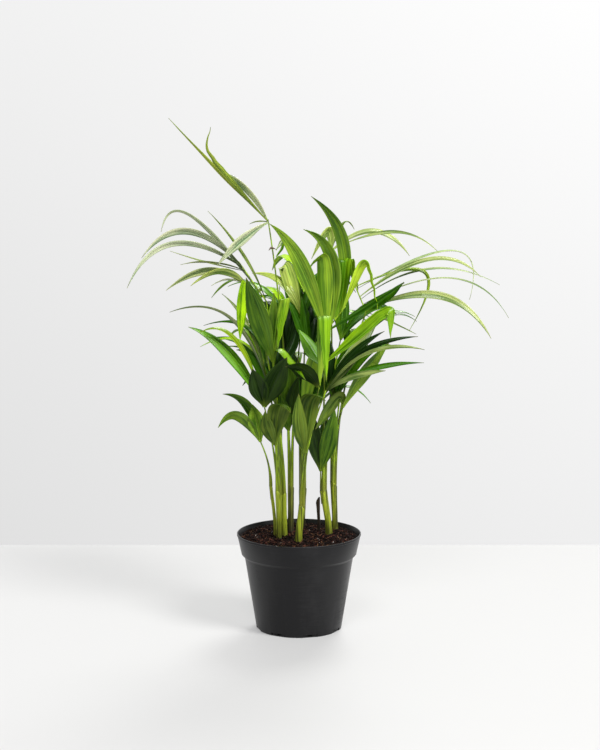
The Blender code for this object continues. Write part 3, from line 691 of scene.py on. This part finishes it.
# %% [markdown]
# ## Leaflets
# A palm leaflet is a thin stiff blade. It is folded like a roof along its midrib, and pleated by the veins that
# run beside it. A flat strip with a bump map looks like paper at the edge, so the pleats here are real: columns
# of points go up and down across the blade, and the blade has two faces 0.35 mm apart. Hundreds of strips are
# quickest as plain arrays, joined into one mesh for each frond.

# %% Shape one leaflet as two faces and an edge
LEAF_THICKNESS = 0.35
USUAL_WIDTH = 14.0
PLEAT_WIDTH = 3.3
PLEAT_DEPTH = 0.75
SECTIONS_PER_MM = 0.30
LEAST_TIP = 0.25
TWIST = 9.0
CREASE_WAVE = 0.62
CREASE_WAVE_LENGTH = 13.0
CREASE_WAVES_FROM = 0.5


def leaf_grid(blade, root, chance):
    """Rows of points along the blade, and each row's share of the way along it."""
    span = math.hypot(blade.reach, blade.crest)
    sections = max(18, round(span * SECTIONS_PER_MM))
    pleats = max(2, 2 * round(blade.width / PLEAT_WIDTH / 2))
    columns = 2 * pleats
    shares, line = blade_line(blade, root, sections)
    roof = ROOF if blade.ease == 1 else CREASED_ROOF
    twist = math.radians(chance.uniform(-TWIST, TWIST))
    wave, phase = chance.uniform(0.25, 0.6), chance.uniform(0, math.tau)
    length = sum((b - a).length for a, b in zip(line, line[1:]))
    bend = CREASE_WAVE if blade.ease < 1 else 0.0
    points = np.empty((sections + 1, columns + 1, 3))
    for row, (share, centre) in enumerate(zip(shares, line)):
        ahead = (line[min(row + 1, sections)] - line[max(row - 1, 0)]).normalized()
        side, over = across(blade, ahead)
        turn = twist * share * share
        side, over = side * math.cos(turn) + over * math.sin(turn), over * math.cos(turn) - side * math.sin(turn)
        half = max(LEAST_TIP, blade.width * blade_width(share, widest_at(blade))) / 2
        fade = min(1.0, 2.2 * half / blade.width)
        hung = min(1.0, max(0.0, share - CREASE_WAVES_FROM) * 8)
        swell = bend * hung * math.sin(math.tau * share * length / CREASE_WAVE_LENGTH)
        for column in range(columns + 1):
            v = 2 * column / columns - 1
            pleat = PLEAT_DEPTH * fade * (column % 2)
            ripple = wave * v * v * math.sin(phase + share * 9.0 + v) * fade
            lift = ripple + swell - pleat - roof * half * abs(v)
            points[row, column] = centre + side * (half * v) + over * lift
    return points, np.array(shares)


def leaf_arrays(points, shares, width, seed):
    """Corners, faces, leaf coordinates and face sides of a closed thin blade."""
    rows, columns, _ = points.shape
    along = np.gradient(points, axis=0)
    aside = np.gradient(points, axis=1)
    normals = np.cross(along, aside)
    normals /= np.linalg.norm(normals, axis=2, keepdims=True) + 1e-12
    corners = np.concatenate([
        (points + normals * (LEAF_THICKNESS / 2)).reshape(-1, 3),
        (points - normals * (LEAF_THICKNESS / 2)).reshape(-1, 3),
    ])
    number = np.arange(rows * columns).reshape(rows, columns)
    below = number + rows * columns
    top = np.stack([number[:-1, :-1], number[1:, :-1], number[1:, 1:], number[:-1, 1:]], axis=2).reshape(-1, 4)
    under = np.stack([below[:-1, :-1], below[:-1, 1:], below[1:, 1:], below[1:, :-1]], axis=2).reshape(-1, 4)
    loop = np.concatenate([number[:, 0], number[-1, 1:], number[-2::-1, -1], number[0, -2:0:-1]])
    after = np.roll(loop, -1)
    rim = np.stack([loop, loop + rows * columns, after + rows * columns, after], axis=1)
    across_share = np.linspace(-1, 1, columns) * width / USUAL_WIDTH
    place = np.stack(np.broadcast_arrays(shares[:, None], across_share[None, :], float(seed)), axis=2).reshape(-1, 3)
    faces = np.concatenate([top, under, rim])
    sides = np.concatenate([np.zeros(len(top), int), np.ones(len(under), int), np.zeros(len(rim), int)])
    return corners, faces, np.concatenate([place, place]), sides


# %% Join leaflets into one mesh for each frond
LEAF_SEED = 11
piece_triangles = {}


def joined_mesh(name, parts, skins, attribute=None):
    """One object from many (corners, faces, coordinates, skin numbers), with its materials and soft shading."""
    counts = np.cumsum([0] + [len(corners) for corners, _, _, _ in parts])
    corners = np.concatenate([part[0] for part in parts]) * MM
    faces = np.concatenate([part[1] + first for part, first in zip(parts, counts)])
    mesh = bpy.data.meshes.new(name)
    mesh.from_pydata(corners.tolist(), [], faces.tolist())
    if attribute:
        values = np.concatenate([part[2] for part in parts])
        mesh.attributes.new(attribute, "FLOAT_VECTOR", "POINT").data.foreach_set("vector", values.ravel())
    for skin in skins:
        mesh.materials.append(skin)
    mesh.polygons.foreach_set("material_index", np.concatenate([part[3] for part in parts]))
    mesh.shade_smooth()
    mesh.set_sharp_from_angle(angle=math.radians(62))
    mesh.update()
    made = bpy.data.objects.new(name, mesh)
    bpy.context.scene.collection.objects.link(made)
    piece_triangles[name] = sum(len(polygon.vertices) - 2 for polygon in mesh.polygons)
    return made


chance = random.Random(LEAF_SEED)
for name, frond in FRONDS.items():
    parts, skins = [], []
    grown = [(blade_root(frond, blade), blade) for blade in frond.blades]
    grown += [(Vector(root), blade) for root, blade in SPRIGS.get(name, ())]
    for root, blade in grown:
        points, shares = leaf_grid(blade, root, chance)
        corners, faces, place, sides = leaf_arrays(points, shares, blade.width, chance.uniform(0, 50))
        for skin in leaf_skins[blade.shade]:
            if skin not in skins:
                skins.append(skin)
        slots = np.array([skins.index(skin) for skin in leaf_skins[blade.shade]])
        parts.append((corners, faces, place, slots[sides]))
    leaflets = joined_mesh(f"{name}_leaflets", parts, skins, attribute="leaf")
    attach(leaflets, "root")
    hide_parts(name)
print("leaflet triangles:", sum(piece_triangles.values()), "most in a piece:", max(piece_triangles.values()))

# %% [markdown]
# ## Stalks
# A stalk leaves its stem inside a short sheath, which is the widest part, and thins evenly up to the hub and on
# along the rib. A bevelled curve is the tool for a limb that only changes in thickness, and it is made a mesh
# afterwards so that its ends close. The skin is smooth and glossy, with a few lengthwise lines.

# %% Stalk and sheath skins


def cane_finish(name, colour, foot_colour, roughness, foot_from, foot_to):
    """Green rolled leaf base, drier and browner towards the soil, with fine lines that run up it, whose pale ones also
    paint the highlights along its sides.
    """
    finish = Finish(name, colour, roughness, specular_ior_level=0.3)
    place = finish.place()
    lines = finish.noise(finish.scaled(place, (430.0, 430.0, 9.0)), 1.0, detail=2.0)
    patches = finish.noise(finish.scaled(place, (60.0, 60.0, 22.0)), 1.0)
    height = finish.add("SeparateXYZ", None, {0: place}, output=2)
    # Partly painted highlight: over the real fine lines, the pale ones are made bright enough to stand in for the
    # highlights along the sides.
    paler = tuple(min(1.0, channel * 2.1) for channel in colour)
    deeper = tuple(channel * 0.34 for channel in colour)
    green = finish.mix(finish.clamp(lines * 0.7 + patches * 0.3, 0.40, 0.58), deeper, paler)
    dry = finish.clamp(height + patches * 0.02, foot_to * MM, foot_from * MM)
    finish.feed(finish.shader, {
        "Base Color": finish.mix(dry, green, foot_colour),
        "Roughness": finish.clamp(lines, 0.3, 0.7, roughness - 0.07, roughness + 0.12),
    })
    finish.bump(lines, 0.12)
    return finish.material


stalk_skin = cane_finish("stalk green", (0.145, 0.230, 0.006), (0.150, 0.160, 0.010), 0.40, 128.0, 190.0)
stem_skin = cane_finish("stem sheath green", (0.155, 0.190, 0.010), (0.050, 0.050, 0.008), 0.45, 90.0, 122.0)
old_stem_skin = cane_finish("old stem sheath", (0.090, 0.105, 0.012), (0.016, 0.010, 0.007), 0.5, 100.0, 140.0)
OLD_STEMS = ("stem_4", "stem_6")

# %% Stand the stalks on their stems
STALK_FOOT_RADIUS = 1.1
RIB_END_RADIUS = 0.62
STALK_END = 2.5
SHEATH_RADIUS = 1.3
SHEATH_FULLNESS = 0.4
SUNK_RADIUS = 0.3
SHEATH_SHARE = 0.55
STALK_SECTIONS = 44
SUNK = 14.0


def stem_top(cane):
    return Vector((cane.x + cane.lean_x, cane.y + cane.lean_y, SOIL_TOP + cane.height))


def bundle_spread(count):
    """How far from the stem's middle its stalks stand, when there are this many of them."""
    return (STALK_FOOT_RADIUS + CLEARANCE / 2) / math.sin(math.pi / count) if count > 1 else 0.0


def seats():
    """Each frond's place on its stem's top: side by side round the middle, turned to its own hub."""
    places = {}
    for name, cane in STEMS.items():
        own = [key for key in FRONDS if FRONDS[key].stem == name]
        top = stem_top(cane) + Vector((0, 0, CLEARANCE))
        if len(own) == 1:
            places[own[0]] = top
            continue
        away = {key: math.atan2(FRONDS[key].hub[1] - top.y, FRONDS[key].hub[0] - top.x) for key in own}
        own.sort(key=away.get)
        turns = [away[key] - math.tau * number / len(own) for number, key in enumerate(own)]
        first = math.atan2(sum(map(math.sin, turns)), sum(map(math.cos, turns)))
        for number, key in enumerate(own):
            angle = first + math.tau * number / len(own)
            places[key] = top + Vector((math.cos(angle), math.sin(angle), 0)) * bundle_spread(len(own))
    return places


def stalk_line(frond, seat, count):
    """From the stem's top, upright at first, to the hub, and on along the rib."""
    hub = Vector(frond.hub)
    bow = Vector((frond.bow[0], frond.bow[1], 0.0))
    knee = Vector((seat.x, seat.y, seat.z + 0.5 * (hub.z - seat.z))) + bow
    line = spread_along(rounded_corner(seat, knee, hub, 1.0), count)[1]
    rib = Vector(frond.rib)
    if rib.length > 0:
        line += [hub + rib * share for share in (0.25, 0.5, 0.75, 1.0)]
        line.append(hub + rib + rib.normalized() * STALK_END)
    else:
        line[-1] = hub + (hub - line[-2]).normalized() * STALK_END
    return line


def stalk_radius(share):
    """Wide in the sheath, then an even taper to the rib's end."""
    bare = STALK_FOOT_RADIUS + (RIB_END_RADIUS - STALK_FOOT_RADIUS) * share
    sheath = max(0.0, 1.0 - share / SHEATH_SHARE)
    return bare + (SHEATH_RADIUS + SHEATH_FULLNESS - STALK_FOOT_RADIUS) * sheath * sheath * (3 - 2 * sheath)


def tube(name, points, radii, skin):
    """A round limb along the points, with closed ends, from a curve with a bevel."""
    curve = bpy.data.curves.new(name, "CURVE")
    curve.dimensions = "3D"
    curve.bevel_depth = MM
    curve.bevel_resolution = 4
    curve.use_fill_caps = True
    curve.twist_mode = "MINIMUM"
    spline = curve.splines.new("POLY")
    spline.points.add(len(points) - 1)
    for place, point, radius in zip(spline.points, points, radii):
        place.co = (*(point * MM), 1.0)
        place.radius = radius
    guide = bpy.data.objects.new(name + "_guide", curve)
    bpy.context.scene.collection.objects.link(guide)
    bpy.context.view_layer.update()
    mesh = bpy.data.meshes.new_from_object(guide.evaluated_get(bpy.context.evaluated_depsgraph_get()))
    bpy.data.objects.remove(guide)
    shape = bmesh.new()
    shape.from_mesh(mesh)
    bmesh.ops.remove_doubles(shape, verts=shape.verts, dist=0.00001)
    bmesh.ops.recalc_face_normals(shape, faces=shape.faces)
    shape.to_mesh(mesh)
    shape.free()
    mesh.materials.clear()
    mesh.materials.append(skin)
    mesh.shade_smooth()
    made = bpy.data.objects.new(name, mesh)
    bpy.context.scene.collection.objects.link(made)
    piece_triangles[name] = sum(len(polygon.vertices) - 2 for polygon in mesh.polygons)
    return made


for name, seat in seats().items():
    line = stalk_line(FRONDS[name], seat, STALK_SECTIONS)
    last = len(line) - 1
    radii = [stalk_radius(number / last) for number in range(last + 1)]
    foot = line[0] + Vector((0, 0, -SUNK))
    stalk = tube(f"{name}_stalk", [foot, *line], [SUNK_RADIUS, *radii], stalk_skin)
    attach(stalk, "root")
    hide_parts(name)
print("stalks:", len(FRONDS))

# %% [markdown]
# ## Stems
# A stem is a bundle of leaf bases rolled round each other. Each base overlaps itself along a seam, so the outline
# isn't a circle: it steps out a little at the seam and is faintly ribbed. A profile spun round an axis gives an
# even skin of points, and each point is then moved by that rule and leant with the stem.

# %% Spin and shape the stems
STEM_SIDES = 36
STEM_ROWS = 30
SEAM = 0.35
RIBS = 9
RIB_HEIGHT = 0.09
FOOT_SWELL = 1.28
MOUTH_FROM = 0.7
MOUTH_SLANT = 2.6


def stem_point(cane, corner, turn, mouth):
    """Where a point of the plain spun profile lies on the real stem, whose upper end is as wide as its mouth."""
    share = corner.z
    heading = math.atan2(corner.y, corner.x)
    angle = heading + turn + share * 1.3
    size = Vector((corner.x, corner.y)).length
    foot = (FOOT_SWELL - 1.0) * math.exp(-share * 9.0)
    body = cane.radius * (1.0 + foot) + (mouth - cane.radius) * share * share
    seam = SEAM * ((angle / math.tau) % 1.0 - 0.5)
    ribs = RIB_HEIGHT * math.sin(angle * RIBS)
    radius = size * (body + seam + ribs)
    lean = share * share * (2 - share) if share < 1 else share
    slant = MOUTH_SLANT * max(0.0, share - MOUTH_FROM) / (1 - MOUTH_FROM) * size * math.cos(heading - turn)
    return Vector((
        cane.x + cane.lean_x * lean + radius * math.cos(heading),
        cane.y + cane.lean_y * lean + radius * math.sin(heading),
        SOIL_TOP - 1.0 + share * (cane.height + 1.0) + slant,
    ))


def spun(profile, sides):
    """A bmesh of a profile of (radius, height) pairs turned a full circle round the Z axis."""
    shape = bmesh.new()
    corners = [shape.verts.new((radius, 0.0, height)) for radius, height in profile]
    edges = [shape.edges.new(pair) for pair in zip(corners, corners[1:])]
    bmesh.ops.spin(
        shape, geom=corners + edges, cent=(0, 0, 0), axis=(0, 0, 1),
        angle=math.tau, steps=sides, use_merge=True, use_duplicate=False,
    )
    bmesh.ops.remove_doubles(shape, verts=shape.verts, dist=1e-7)
    bmesh.ops.recalc_face_normals(shape, faces=shape.faces)
    return shape


def finished(name, shape, skins, node=None, sharp=40):
    """The bmesh as a piece of the plant: named, shaded, dressed and riding on the frame."""
    mesh = bpy.data.meshes.new(name)
    shape.to_mesh(mesh)
    shape.free()
    for skin in skins:
        mesh.materials.append(skin)
    mesh.shade_smooth()
    mesh.set_sharp_from_angle(angle=math.radians(sharp))
    made = bpy.data.objects.new(name, mesh)
    bpy.context.scene.collection.objects.link(made)
    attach(made, "root")
    if node:
        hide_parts(node)
    piece_triangles[name] = sum(len(polygon.vertices) - 2 for polygon in mesh.polygons)
    return made


def stem_profile():
    wall = [(1.0, row / STEM_ROWS) for row in range(STEM_ROWS + 1)]
    return [(0.0, 0.0), *wall, (0.93, 1.02), (0.7, 1.045), (0.35, 1.06), (0.0, 1.065)]


def make_stem(name, cane, skin, turn):
    carried = sum(frond.stem == name for frond in FRONDS.values())
    mouth = bundle_spread(carried) + SHEATH_RADIUS + SHEATH_FULLNESS
    shape = spun(stem_profile(), STEM_SIDES)
    for corner in shape.verts:
        corner.co = stem_point(cane, corner.co, turn, mouth) * MM
    return finished(name + "_sheaths", shape, [skin], node=name, sharp=70)


chance = random.Random(LEAF_SEED)
for name, cane in STEMS.items():
    make_stem(name, cane, old_stem_skin if name in OLD_STEMS else stem_skin, chance.uniform(0, math.tau))
print("stems:", len(STEMS))

# %% Add the dry sheath
dry_skin = cane_finish("dry sheath brown", (0.022, 0.014, 0.007), (0.012, 0.008, 0.005), 0.75, 92.0, 104.0)
dry_shape = spun(stem_profile(), STEM_SIDES)
for corner in dry_shape.verts:
    corner.co = stem_point(DRY_SHEATH, corner.co, 0.4, 1.5 * DRY_SHEATH.radius) * MM
dry_sheath = finished("dry_sheath_husk", dry_shape, [dry_skin], node="dry_sheath", sharp=70)

# %% [markdown]
# ## The pot
# A nursery pot is blown or pressed from thin black plastic: a tapered wall, a small step, and a deeper collar that
# flares to the rim. Its profile is spun once round. The satin face shows faint scuffs and a little dust, which
# are noise at two sizes, one for cloudy patches and one for the fine grain of the mould.

# %% Spin the pot
POT_HEIGHT = 94.0
RIM_RADIUS = 60.0
FOOT_RADIUS = 41.4
COLLAR_HEIGHT = 20.5
COLLAR_FLARE = 4.5
COLLAR_STEP = 3.0
SHOULDER_HEIGHT = 2.5
POT_WALL = 1.3
POT_SIDES = 144
DRAIN_SLOTS = 8
DRAIN_HEIGHT = 3.0
DRAIN_WIDTH = 15.0
DRAIN_DEPTH = 3.4
collar_foot = POT_HEIGHT - COLLAR_HEIGHT
collar_radius = RIM_RADIUS - COLLAR_FLARE
neck_radius = collar_radius - COLLAR_STEP
neck_height = collar_foot - SHOULDER_HEIGHT

POT_PROFILE = (
    (RIM_RADIUS - POT_WALL, POT_HEIGHT - 0.5),
    (RIM_RADIUS - POT_WALL + 0.3, POT_HEIGHT),
    (RIM_RADIUS - 0.35, POT_HEIGHT),
    (RIM_RADIUS, POT_HEIGHT - 0.4),
    (RIM_RADIUS, POT_HEIGHT - 1.8),
    (RIM_RADIUS - 0.5, POT_HEIGHT - 2.3),
    (collar_radius + 0.15, collar_foot + 0.5),
    (collar_radius - 0.4, collar_foot - 0.1),
    (neck_radius + 0.4, neck_height + 0.3),
    (neck_radius, neck_height - 0.5),
    (FOOT_RADIUS, 1.0),
    (FOOT_RADIUS - 0.3, 0.3),
    (FOOT_RADIUS - 1.0, 0.0),
    (0.0, 0.0),
    (0.0, POT_WALL),
    (FOOT_RADIUS - POT_WALL - 0.4, POT_WALL),
    (neck_radius - POT_WALL, neck_height + 0.3),
    (collar_radius - POT_WALL, collar_foot + 0.6),
    (RIM_RADIUS - POT_WALL, POT_HEIGHT - 0.5),
)

shape = spun([(radius * MM, height * MM) for radius, height in POT_PROFILE], POT_SIDES)
pot_mesh = bpy.data.meshes.new("pot_shell")
shape.to_mesh(pot_mesh)
shape.free()
blank = bpy.data.objects.new("pot_blank", pot_mesh)
bpy.context.scene.collection.objects.link(blank)
print("pot shell:", len(pot_mesh.polygons), "faces")

# %% Cut the drain slots
cutter_shape = bmesh.new()
for number in range(DRAIN_SLOTS):
    made = bmesh.ops.create_cube(cutter_shape, size=1.0)["verts"]
    bmesh.ops.scale(cutter_shape, vec=(DRAIN_DEPTH * MM, DRAIN_WIDTH * MM, 2 * DRAIN_HEIGHT * MM), verts=made)
    bmesh.ops.translate(cutter_shape, vec=(FOOT_RADIUS * MM, 0, 0), verts=made)
    turn = Matrix.Rotation(math.tau * (number + 0.35) / DRAIN_SLOTS, 3, "Z")
    bmesh.ops.rotate(cutter_shape, cent=(0, 0, 0), matrix=turn, verts=made)
cutter_mesh = bpy.data.meshes.new("drain_slots")
cutter_shape.to_mesh(cutter_mesh)
cutter_shape.free()
cutter = bpy.data.objects.new("drain_slots", cutter_mesh)
bpy.context.scene.collection.objects.link(cutter)
cut = blank.modifiers.new("drain", "BOOLEAN")
cut.operation = "DIFFERENCE"
cut.object = cutter
bpy.context.view_layer.update()
shape = bmesh.new()
shape.from_object(blank, bpy.context.evaluated_depsgraph_get())
for helper in (blank, cutter):
    bpy.data.objects.remove(helper)


def plastic_finish():
    """Satin black plastic: cloudy scuffs that are a little paler and duller, over a fine mould grain."""
    finish = Finish("black nursery plastic", (0.012, 0.012, 0.013), 0.42, specular_ior_level=0.28)
    place = finish.place()
    clouds = finish.noise(finish.scaled(place, (26.0, 26.0, 14.0)), 1.0, detail=5.0, roughness=0.62)
    grain = finish.noise(place, 1500.0, detail=1.0)
    scratches = finish.noise(finish.scaled(place, (70.0, 70.0, 900.0)), 1.0, detail=2.0)
    scuffs = finish.clamp(clouds * 0.8 + scratches * 0.25, 0.5, 0.72)
    finish.feed(finish.shader, {
        "Base Color": finish.mix(scuffs, (0.005, 0.005, 0.006), (0.014, 0.014, 0.015)),
        "Roughness": finish.clamp(scuffs * 0.7 + grain * 0.3, 0.0, 1.0, 0.34, 0.58),
    })
    finish.bump(grain, 0.03)
    return finish.material


pot_piece = finished("pot_shell", shape, [plastic_finish()], node="pot", sharp=32)

# %% [markdown]
# ## The soil
# Potting mix is crumbs, bark, fibres and a few white grains. A bumpy surface alone reads as carpet, so the bed is
# a spun disc pushed up and down by noise, and thousands of small solids lie on it: each kind is one little shape,
# copied with its own turn and size, and joined into one mesh.

# %% Lay the soil bed
SOIL_EDGE = 90.0
SOIL_RADIUS = 57.7
SOIL_RINGS = 60
SOIL_SIDES = 160
SOIL_ROUGHNESS = 1.3


def soil_height(x, y):
    """Height of the bed in millimetres: level in the middle, lower at the wall, and lumpy all over."""
    away = math.hypot(x, y) / SOIL_RADIUS
    lumps = noise.noise(Vector((x, y, 3.0)) * 0.11) + 0.6 * noise.noise(Vector((x, y, 9.0)) * 0.31)
    fine = 0.4 * noise.noise(Vector((x, y, 5.0)) * 0.8)
    return SOIL_TOP - 0.4 - (SOIL_TOP - SOIL_EDGE) * max(0.0, away - 0.75) * 4 + SOIL_ROUGHNESS * (lumps + fine) * 0.8


soil_gap = POT_WALL + 0.6
top_rings = [(SOIL_RADIUS * (ring / SOIL_RINGS) ** 0.85, SOIL_TOP) for ring in range(SOIL_RINGS + 1)]
bed_profile = top_rings + [
    (collar_radius - soil_gap, collar_foot + 1.0),
    (neck_radius - soil_gap, neck_height),
    (FOOT_RADIUS - soil_gap - DRAIN_DEPTH, POT_WALL + CLEARANCE),
    (0.0, POT_WALL + CLEARANCE),
]
bed = spun([(radius * MM, height * MM) for radius, height in bed_profile], SOIL_SIDES)
for corner in bed.verts:
    if corner.co.z > (SOIL_TOP - 0.01) * MM:
        corner.co.z = soil_height(corner.co.x / MM, corner.co.y / MM) * MM


def soil_finish(name, colours, roughness):
    """Dark crumbs with rusty and tan patches, and no shine."""
    finish = Finish(name, colours[0], roughness, specular_ior_level=0.1)
    place = finish.place()
    patches = finish.noise(place, 160.0, detail=4.0, roughness=0.7)
    specks = finish.noise(place, 900.0, detail=2.0)
    base = finish.mix(finish.clamp(patches, 0.42, 0.62), colours[0], colours[1])
    finish.feed(finish.shader, {"Base Color": finish.mix(finish.clamp(specks, 0.56, 0.70), base, colours[2])})
    finish.bump(specks, 0.5)
    return finish.material


soil_skin = soil_finish("moist potting mix", ((0.002, 0.001, 0.001), (0.010, 0.004, 0.003), (0.040, 0.018, 0.010)), 0.92)
bed_piece = finished("soil_bed", bed, [soil_skin], node="soil", sharp=80)
print("soil bed triangles:", piece_triangles["soil_bed"])

# %% Scatter crumbs, bark, fibres and white grains
SOIL_SEED = 23
GRAINS = {
    "crumb": (2300, (0.9, 3.0), (1.0, 0.8, 0.7)),
    "bark": (330, (1.8, 4.8), (1.0, 0.5, 0.25)),
    "fibre": (170, (4.0, 10.0), (1.0, 0.06, 0.05)),
    "white": (34, (0.9, 1.8), (1.0, 0.9, 0.8)),
}
GRAIN_SKINS = {
    "crumb": soil_finish("soil crumbs", ((0.003, 0.001, 0.001), (0.014, 0.005, 0.004), (0.050, 0.024, 0.014)), 0.9),
    "bark": soil_finish("bark chips", ((0.030, 0.007, 0.005), (0.085, 0.024, 0.016), (0.190, 0.090, 0.050)), 0.8),
    "fibre": soil_finish("coir fibres", ((0.120, 0.055, 0.025), (0.190, 0.095, 0.045), (0.260, 0.150, 0.075)), 0.75),
    "white": soil_finish("white grains", ((0.420, 0.390, 0.340), (0.620, 0.590, 0.540), (0.300, 0.240, 0.180)), 0.85),
}


def grain_arrays(kind, size, stretch, chance):
    """The corners and faces of one lump about the origin, from a small ball or a strip."""
    shape = bmesh.new()
    if kind == "fibre":
        bmesh.ops.create_cone(shape, cap_ends=True, segments=4, radius1=0.5, radius2=0.2, depth=1.0)
        for corner in shape.verts:
            corner.co = Vector((corner.co.z, corner.co.x, corner.co.y))
    else:
        bmesh.ops.create_icosphere(shape, subdivisions=1, radius=0.5)
    for corner in shape.verts:
        uneven = chance.uniform(0.72, 1.2)
        corner.co = Vector([corner.co[axis] * stretch[axis] * size * uneven for axis in range(3)])
    shape.verts.ensure_lookup_table()
    corners = np.array([corner.co[:] for corner in shape.verts])
    faces = [[corner.index for corner in face.verts] for face in shape.faces]
    shape.free()
    return corners, faces


def turned(corners, heading, pitch):
    """The corners pitched about Y and then turned about Z."""
    about_y = np.array([[math.cos(pitch), 0, math.sin(pitch)], [0, 1, 0], [-math.sin(pitch), 0, math.cos(pitch)]])
    about_z = np.array([[math.cos(heading), -math.sin(heading), 0], [math.sin(heading), math.cos(heading), 0], [0, 0, 1]])
    return corners @ (about_z @ about_y).T


def scatter(kind, count, sizes, stretch, chance):
    """Many lumps of one kind, lying on the bed inside the pot's wall, as one piece."""
    corners, faces, first = [], [], 0
    for _ in range(count):
        size = chance.uniform(*sizes)
        own, own_faces = grain_arrays(kind, size, stretch, chance)
        pitch = chance.uniform(-0.5, 0.5)
        own = turned(own, chance.uniform(0, math.tau), pitch)
        away = (SOIL_RADIUS - 1.5 - size / 2) * math.sqrt(chance.random())
        angle = chance.uniform(0, math.tau)
        x, y = away * math.cos(angle), away * math.sin(angle)
        lift = size * stretch[2] * 0.28 + abs(math.sin(pitch)) * size * 0.22
        corners.append(own + (x, y, soil_height(x, y) + lift))
        faces += [[first + index for index in face] for face in own_faces]
        first += len(own)
    mesh = bpy.data.meshes.new(f"soil_{kind}")
    mesh.from_pydata((np.concatenate(corners) * MM).tolist(), [], faces)
    mesh.materials.append(GRAIN_SKINS[kind])
    made = bpy.data.objects.new(f"soil_{kind}", mesh)
    bpy.context.scene.collection.objects.link(made)
    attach(made, "root")
    piece_triangles[made.name] = sum(len(polygon.vertices) - 2 for polygon in mesh.polygons)
    return made


chance = random.Random(SOIL_SEED)
for kind, (count, sizes, stretch) in GRAINS.items():
    scatter(kind, count, sizes, stretch, chance)
print("soil grains:", sum(count for count, _, _ in GRAINS.values()))
print("triangles in all:", sum(piece_triangles.values()), "most in a piece:", max(piece_triangles.values()))

# %% [markdown]
# ## Table, light and camera
# The plant stands on a white table before a pale wall. The light is that of a bright room: a big soft source on
# the right and above, a weaker one behind that shines through the leaves, and a pale surround. The camera stands
# 2.2 m away, slightly above, and looks down by under ten degrees, which is what the rim's narrow ellipse tells.

# %% Set the table and the surround
TABLE_BACK = 0.334
WALL = 3.2


def plain(name, corners, colour, roughness, brightness):
    """A flat backdrop that gives off a little light of its own, so that it stays pale."""
    shape = bmesh.new()
    shape.faces.new([shape.verts.new(corner) for corner in corners])
    mesh = bpy.data.meshes.new(name)
    shape.to_mesh(mesh)
    shape.free()
    finish = Finish(name, colour, roughness, emission_strength=1.0)
    place = finish.place()
    right, up = (finish.add("SeparateXYZ", None, {0: place}, output=axis) for axis in (0, 2))
    finish.feed(finish.shader, {"Emission Color": brightness(finish, right, up)})
    mesh.materials.append(finish.material)
    made = bpy.data.objects.new(name, mesh)
    bpy.context.scene.collection.objects.link(made)
    made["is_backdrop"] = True
    return made


# Painted light: the table glows more on the left than on the right, evening out the fall-off of the window light.
def table_glow(finish, right, up):
    return finish.clamp(right, -0.45, 0.45, 0.345, 0.235)


# Painted light: the wall glows brighter towards the right and the top, as if lit from there.
def wall_glow(finish, right, up):
    return 0.652 + finish.clamp(right, -1.2, 1.2, 0.0, 0.134) + finish.clamp(up, -1.2, 1.2, 0.0, 0.151)


table_corners = ((-6, -6, 0), (6, -6, 0), (6, TABLE_BACK, 0), (-6, TABLE_BACK, 0))
wall_corners = ((-5, WALL, -2), (5, WALL, -2), (5, WALL, 4), (-5, WALL, 4))
plain("table", table_corners, (0.34, 0.34, 0.34), 0.6, table_glow)
plain("wall", wall_corners, (0.10, 0.10, 0.10), 0.9, wall_glow)
world = bpy.data.worlds.new("pale room")
world.use_nodes = True
world.node_tree.nodes["Background"].inputs["Color"].default_value = (0.20, 0.20, 0.205, 1.0)
world.node_tree.nodes["Background"].inputs["Strength"].default_value = 1.0
bpy.context.scene.world = world
bpy.context.scene.view_settings.view_transform = "Standard"

# %% Place the lights


def soft_light(name, place, towards, size, power, colour=(1.0, 1.0, 1.0)):
    lamp = bpy.data.lights.new(name, "AREA")
    lamp.shape = "DISK"
    lamp.size = size
    lamp.energy = power
    lamp.color = colour
    made = bpy.data.objects.new(name, lamp)
    made.location = place
    made.rotation_euler = (Vector(towards) - Vector(place)).to_track_quat("-Z", "Y").to_euler()
    bpy.context.scene.collection.objects.link(made)
    return made


soft_light("window_light", (2.2, -2.0, 2.8), (0, 0, 0.25), 1.6, 165.0, (1.0, 0.99, 0.97))
soft_light("front_light", (-0.5, -2.6, 3.0), (0, 0, 0.25), 1.5, 60.0, (1.0, 1.0, 1.0))
soft_light("back_light", (0.8, 2.4, 2.4), (0, 0, 0.3), 1.4, 62.0, (1.0, 1.0, 0.97))

# %% Set the camera
CAMERA_PITCH = 9.58
camera_data = bpy.data.cameras.new("camera")
camera_data.sensor_fit = "VERTICAL"
camera_data.sensor_height = 36.0
camera_data.sensor_width = 36.0
camera_data.lens = 111.9
camera = bpy.data.objects.new("camera", camera_data)
camera.location = (0.001, -2.2, 0.62)
camera.rotation_euler = (math.radians(90 - CAMERA_PITCH), 0, 0)
bpy.context.scene.collection.objects.link(camera)
bpy.context.scene.camera = camera

# %% Print the measured and the dressed box
dressed_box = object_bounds()
boxes = {
    "measured": [list(corner) for corner in measured_box],
    "dressed": [list(corner) for corner in dressed_box],
}
print("measured box:", boxes["measured"])
print("dressed box:", boxes["dressed"])
